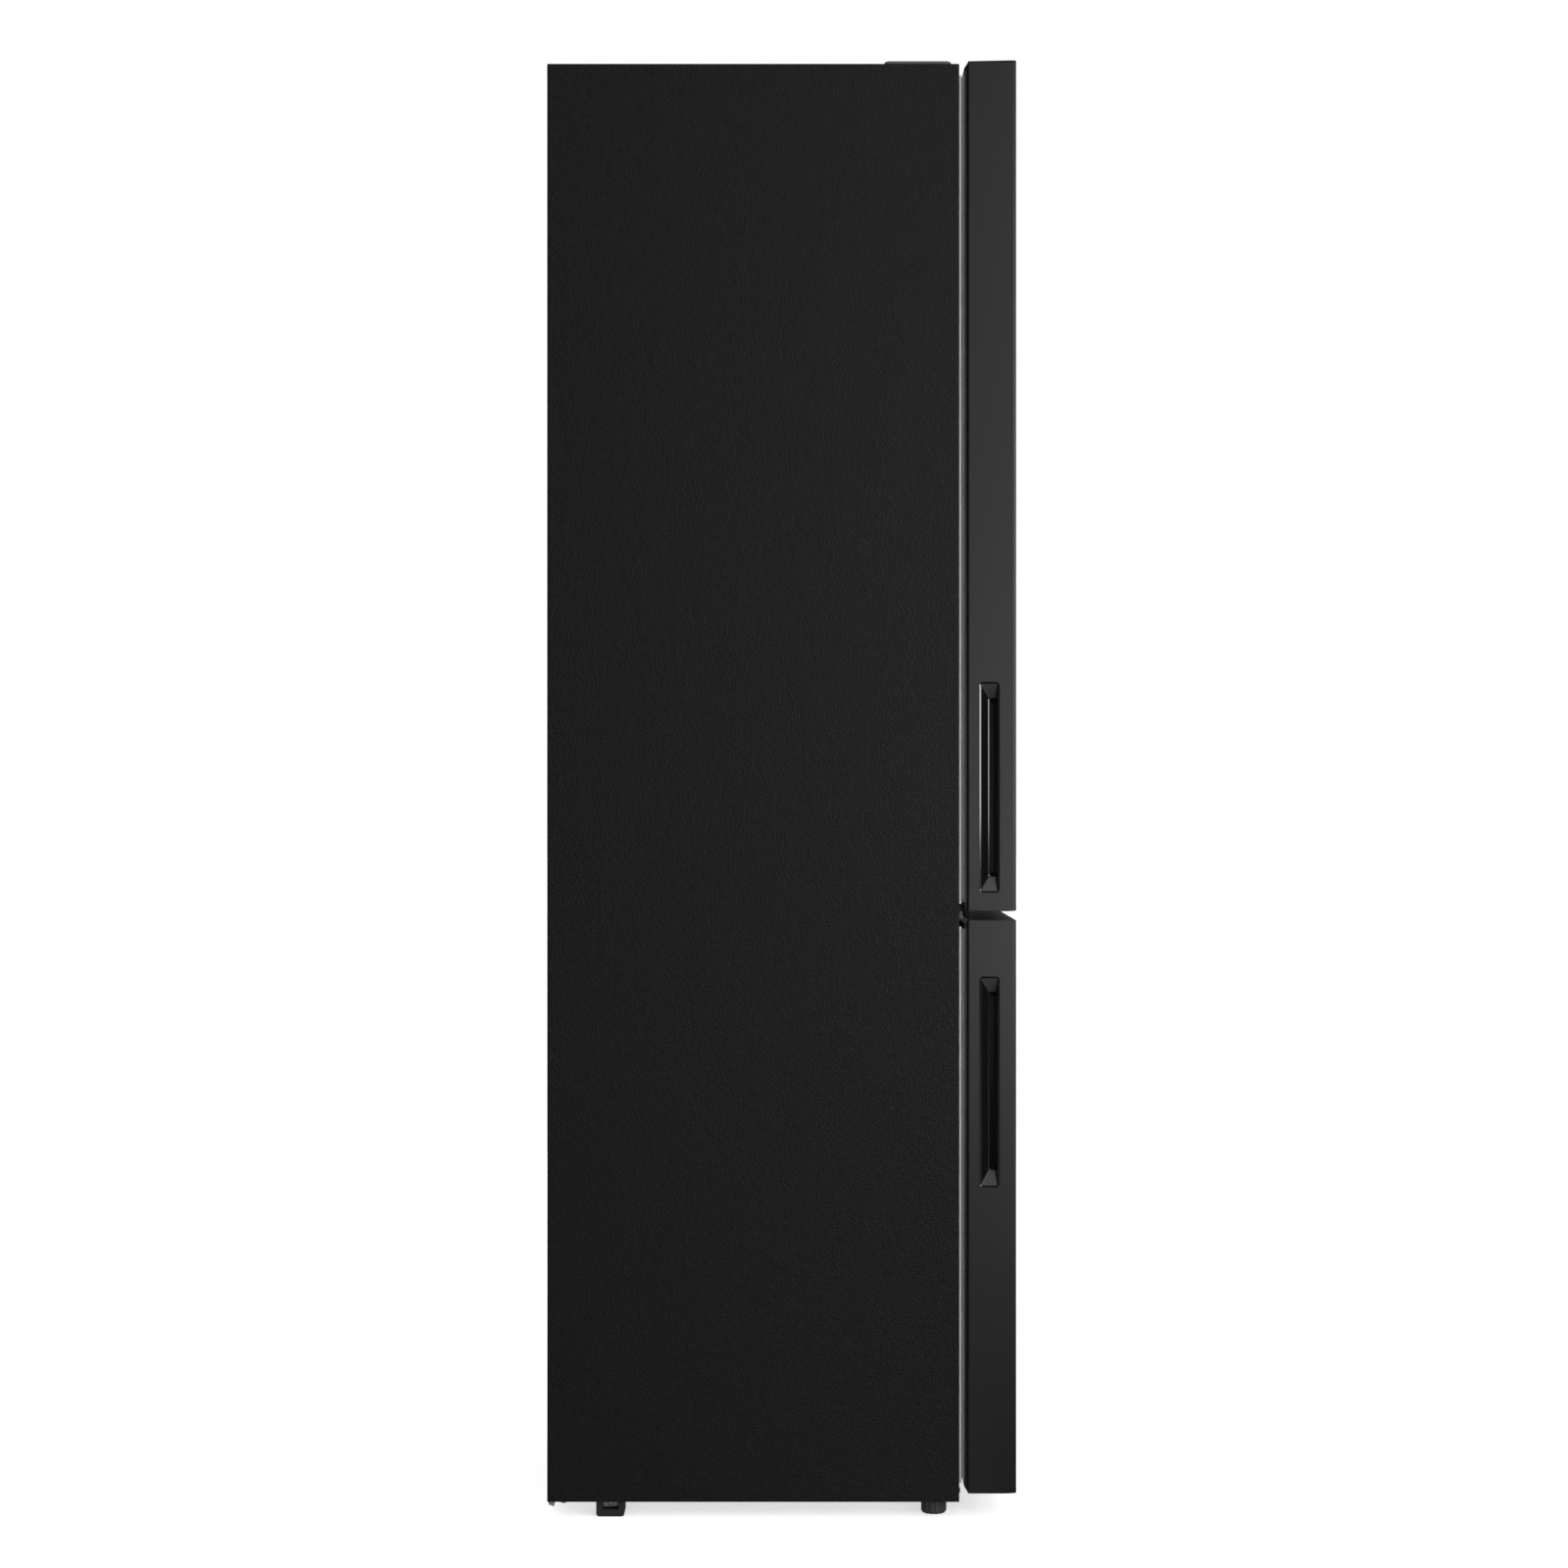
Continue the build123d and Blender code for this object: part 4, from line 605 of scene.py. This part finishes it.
def screw_head():
    """One head, its seat at the origin and its axis up."""
    bpy.ops.object.select_all(action="DESELECT")
    bpy.ops.mesh.primitive_circle_add(
        vertices=SCREW_SIDES, radius=SCREW_RADIUS * MM, fill_type="NGON",
    )
    head = bpy.context.active_object
    bpy.ops.object.mode_set(mode="EDIT")
    bpy.ops.mesh.select_all(action="SELECT")
    for rise, shrink in SCREW_STEPS:
        lift = {"value": (0.0, 0.0, rise * SCREW_HEIGHT * MM)}
        bpy.ops.mesh.extrude_region_move(TRANSFORM_OT_translate=lift)
        bpy.ops.transform.resize(value=(shrink, shrink, 1.0))
    bpy.ops.mesh.select_all(action="SELECT")
    bpy.ops.mesh.normals_make_consistent(inside=False)
    bpy.ops.object.mode_set(mode="OBJECT")
    middle = (0.0, 0.0, SCREW_HEIGHT * MM)
    arms = [
        bar((RECESS_LENGTH, RECESS_WIDTH, 2 * RECESS_DEPTH), middle, RECESS_EDGE),
        bar((RECESS_WIDTH, RECESS_LENGTH, 2 * RECESS_DEPTH), middle, RECESS_EDGE),
    ]
    for arm in arms:
        pick(head)
        recess = head.modifiers.new("recess", "BOOLEAN")
        recess.operation = "DIFFERENCE"
        recess.object = arm
        bpy.ops.object.modifier_apply(modifier=recess.name)
        bpy.data.objects.remove(arm)
    return rounded(head, SCREW_EDGE, angle=SCREW_EDGE_ANGLE)


def screws():
    """A copy of the head at each screw of the solids, turned the way that screw faces."""
    head = screw_head()
    pick(traced("screws", "screw_places"))
    bpy.ops.mesh.separate(type="LOOSE")
    heads = []
    for blank in list(bpy.context.selected_objects):
        low = [min(corner[i] for corner in blank.bound_box) for i in range(3)]
        high = [max(corner[i] for corner in blank.bound_box) for i in range(3)]
        axis = min(range(3), key=lambda i: high[i] - low[i])
        seat = [(a + b) / 2 for a, b in zip(low, high)]
        faces_up = (seat[0] > 0, False, seat[2] > cad_box[1][2] / 2)[axis]
        seat[axis] = low[axis] if faces_up else high[axis]
        facing = head.location.copy()
        facing[axis] = 1.0 if faces_up else -1.0
        bpy.data.objects.remove(blank)
        pick(head)
        bpy.ops.object.duplicate()
        copy = bpy.context.active_object
        copy.rotation_euler = facing.to_track_quat("Z", "Y").to_euler()
        copy.location = seat
        bpy.ops.object.transform_apply(location=True, rotation=True, scale=False)
        heads.append(copy)
    bpy.data.objects.remove(head)
    piece = joined(heads, "screw_heads")
    piece.data.materials.clear()
    piece.data.materials.append(FINISH[SLOT["screws"]])
    stand_for(piece, "screws")


screws()


# Scale round the temperature knob, with ticks that grow along the turn, and the pointer on the
# knob; sizes in millimetres, turns in degrees

TICKS = 7
TICK_FIRST = -120
TICK_STEP = 40
TICK_GAP = 5
TICK_PROUD = 0.1
TICK_WIDTH = 0.9
TICK_LENGTH = 3.0
TICK_GROWTH = 0.4
TICK_THICKNESS = 0.4
TICK_EDGE = 0.1
POINTER_SIZE = (1.4, 9.0, 0.6)
POINTER_INSET = 6.5
POINTER_EDGE = 0.2


def knob_marks():
    """Puts the scale on the control box and the pointer on the knob."""
    low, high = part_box("temperature_knob")
    centre = [(a + b) / 2 for a, b in zip(low, high)]
    reach = (high[0] - low[0]) / 2 + TICK_GAP * MM
    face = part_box("control_box")[0][2]
    ticks = []
    for step in range(TICKS):
        turn = math.radians(TICK_FIRST + TICK_STEP * step)
        place = (centre[0], centre[1] - reach, face - TICK_PROUD * MM)
        size = (TICK_WIDTH, TICK_LENGTH + TICK_GROWTH * step, TICK_THICKNESS)
        tick = bar(size, place, TICK_EDGE)
        pick(tick)
        bpy.ops.object.mode_set(mode="EDIT")
        bpy.ops.mesh.select_all(action="SELECT")
        bpy.ops.transform.rotate(
            value=turn, orient_axis="Z", center_override=(centre[0], centre[1], 0.0),
        )
        bpy.ops.object.mode_set(mode="OBJECT")
        ticks.append(tick)
    scale = joined(ticks, "knob_scale")
    scale.data.materials.append(FINISH["dark_plastic"])
    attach(scale, BODY["control_box"])
    place = (centre[0], low[1] + POINTER_INSET * MM, low[2])
    pointer = joined([bar(POINTER_SIZE, place, POINTER_EDGE)], "knob_pointer")
    pointer.data.materials.append(FINISH["dark_plastic"])
    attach(pointer, BODY["temperature_knob"])


knob_marks()


# Stage: floor, sky, dark cards round the set, lamps and camera

FLOOR_SIZE = 80.0
FLOOR_GLOW = 0.62
SKY_LIGHT = 0.6
SKY_SEEN = 1.0

QUARTER = math.radians(90)
ACROSS_X = (QUARTER, 0.0, QUARTER)
ACROSS_Y = (QUARTER, 0.0, 0.0)
LYING = (0.0, 0.0, 0.0)
WALL = (14.0, 13.0)
ON_FLOOR = 0.002

# Name, centre, size, turn and level of each card. The strip of floor beside the doors is the
# darkest, so that the lower end of their narrow side falls off as in the photograph.
CARDS = (
    ("card_grip_side", (-7.0, 0.0, 3.5), WALL, ACROSS_X, 0.06),
    ("card_hinge_side", (7.0, 0.0, 3.5), WALL, ACROSS_X, 0.06),
    ("card_front", (0.0, -7.0, 3.5), WALL, ACROSS_Y, 0.2),
    ("card_back", (0.0, 7.0, 3.5), WALL, ACROSS_Y, 0.2),
    ("card_floor_front", (0.0, -4.25, ON_FLOOR), (14.0, 5.5), LYING, 0.4),
    ("card_floor_door", (0.0, -0.9, ON_FLOOR), (14.0, 1.2), LYING, 0.01),
    ("card_floor_rear", (0.0, 3.35, ON_FLOOR), (14.0, 7.3), LYING, 0.2),
)

# Name, centre, target, size and radiance of each soft lamp. The lamps of the hinge side stand
# clear of the line of sight through the gap between the doors, so that the gap stays dark.
LAMPS = (
    ("side_lower", (-4.2, -1.05, 0.7), (-0.3, -0.3, 0.85), (0.5, 0.9), 8.1),
    ("side_upper", (-4.2, -1.05, 2.3), (-0.3, -0.3, 1.6), (0.5, 2.2), 2.5),
    ("side_strip", (-4.0, -2.1, 1.3), (-0.3, -0.2, 1.2), (0.7, 4.0), 4.0),
    ("front_left", (-3.3, -2.9, 1.54), (-0.3, -0.28, 1.05), (1.0, 1.33), 10.0),
    ("front_fill", (0.9, -4.4, 1.7), (0.0, -0.3, 1.0), (2.4, 2.4), 2.2),
    ("overhead", (-0.5, -0.5, 4.6), (0.0, 0.0, 1.0), (3.0, 3.0), 1.2),
    ("hinge_side", (4.2, 0.9, 1.3), (0.3, 0.0, 1.0), (1.0, 1.6), 2.0),
    ("hinge_strip", (4.0, -2.1, 1.3), (0.3, -0.2, 1.2), (0.7, 4.0), 6.0),
    ("hinge_upper", (4.2, -1.05, 2.5), (0.3, -0.3, 1.6), (0.5, 2.2), 4.0),
    ("back", (1.0, 4.4, 1.4), (0.0, 0.3, 1.0), (1.4, 1.6), 2.0),
)

# The camera's place before the near side of the case, and the picture's scale there in
# millimetres to a pixel
NEAR_SIDE = -297.5 * MM
EYE_DISTANCE = 4.5
EYE_ALONG = -3.1 * MM
EYE_HEIGHT = 1008.5 * MM
SENSOR_WIDTH = 36.0
PICTURE_PIXELS = 1600
PIXEL_SIZE = 1.3465


def floor():
    """A pale floor that stays white in the picture and still takes the shadow of the object."""
    bpy.ops.object.select_all(action="DESELECT")
    bpy.ops.mesh.primitive_plane_add(size=FLOOR_SIZE, location=(0.0, 0.0, 0.0))
    plane = bpy.context.active_object
    plane.name = "floor"
    material, tree = begin("white_floor")
    path = add(tree, "ShaderNodeLightPath")
    matt = add(tree, "ShaderNodeBsdfDiffuse", {"Color": linear("#F4F4F4")})
    lift = add(
        tree, "ShaderNodeMath", {"operation": "MULTIPLY", 1: FLOOR_GLOW},
        {0: path.outputs["Is Camera Ray"]},
    )
    glow = add(
        tree, "ShaderNodeEmission", {"Color": linear("#FFFFFF")},
        {"Strength": lift.outputs["Value"]},
    )
    both = add(
        tree, "ShaderNodeAddShader", links={0: matt.outputs["BSDF"], 1: glow.outputs["Emission"]},
    )
    add(tree, "ShaderNodeOutputMaterial", links={"Surface": both.outputs["Shader"]})
    plane.data.materials.append(material)


def sky():
    """Even white light all round; the eye, gloss and glass see it as pure white."""
    world = bpy.data.worlds.new("white_room")
    bpy.context.scene.world = world
    world.use_nodes = True
    tree = world.node_tree
    tree.nodes.clear()
    path = add(tree, "ShaderNodeLightPath")
    seen = add(
        tree, "ShaderNodeMath", {"operation": "MAXIMUM"},
        {0: path.outputs["Is Camera Ray"], 1: path.outputs["Is Glossy Ray"]},
    )
    seen = add(
        tree, "ShaderNodeMath", {"operation": "MAXIMUM"},
        {0: seen.outputs["Value"], 1: path.outputs["Is Transmission Ray"]},
    )
    level = add(
        tree, "ShaderNodeMapRange", {"To Min": SKY_LIGHT, "To Max": SKY_SEEN},
        {"Value": seen.outputs["Value"]},
    )
    light = add(
        tree, "ShaderNodeBackground", {"Color": linear("#FFFFFF")},
        {"Strength": level.outputs["Result"]},
    )
    add(tree, "ShaderNodeOutputWorld", links={"Surface": light.outputs["Background"]})


def card(name, centre, size, turn, level):
    """A card outside the picture, seen only in reflections, as round a set for black objects."""
    bpy.ops.object.select_all(action="DESELECT")
    bpy.ops.mesh.primitive_plane_add(size=1.0, location=centre, rotation=turn)
    sheet = bpy.context.active_object
    sheet.name = name
    sheet.scale = (size[0], size[1], 1.0)
    bpy.ops.object.transform_apply(location=False, rotation=False, scale=True)
    sheet.visible_camera = False
    sheet.visible_diffuse = False
    sheet.visible_transmission = False
    sheet.visible_shadow = False
    material, tree = begin(name + "_felt")
    felt = add(tree, "ShaderNodeEmission", {"Color": linear("#FFFFFF"), "Strength": level})
    add(tree, "ShaderNodeOutputMaterial", links={"Surface": felt.outputs["Emission"]})
    sheet.data.materials.append(material)


def softbox(name, centre, target, size, radiance):
    """A rectangular soft lamp that faces its target."""
    lamp = bpy.data.lights.new(name, "AREA")
    lamp.shape = "RECTANGLE"
    lamp.size, lamp.size_y = size
    lamp.energy = radiance * math.pi * size[0] * size[1]
    holder = bpy.data.objects.new(name, lamp)
    bpy.context.scene.collection.objects.link(holder)
    holder.location = centre
    away = holder.location - type(holder.location)(target)
    holder.rotation_euler = away.to_track_quat("Z", "Y").to_euler()


def camera():
    """Level view from the grip side at half height, its near side at the photograph's scale."""
    eye = bpy.data.cameras.new("camera")
    eye.sensor_width = SENSOR_WIDTH
    eye.lens = eye.sensor_width * EYE_DISTANCE / (PICTURE_PIXELS * PIXEL_SIZE * MM)
    holder = bpy.data.objects.new("camera", eye)
    bpy.context.scene.collection.objects.link(holder)
    holder.location = (NEAR_SIDE - EYE_DISTANCE, EYE_ALONG, EYE_HEIGHT)
    holder.rotation_euler = (QUARTER, 0.0, -QUARTER)
    bpy.context.scene.camera = holder


bpy.context.scene.view_settings.view_transform = "Standard"
floor()
sky()
for row in CARDS:
    card(*row)
for row in LAMPS:
    softbox(*row)
camera()
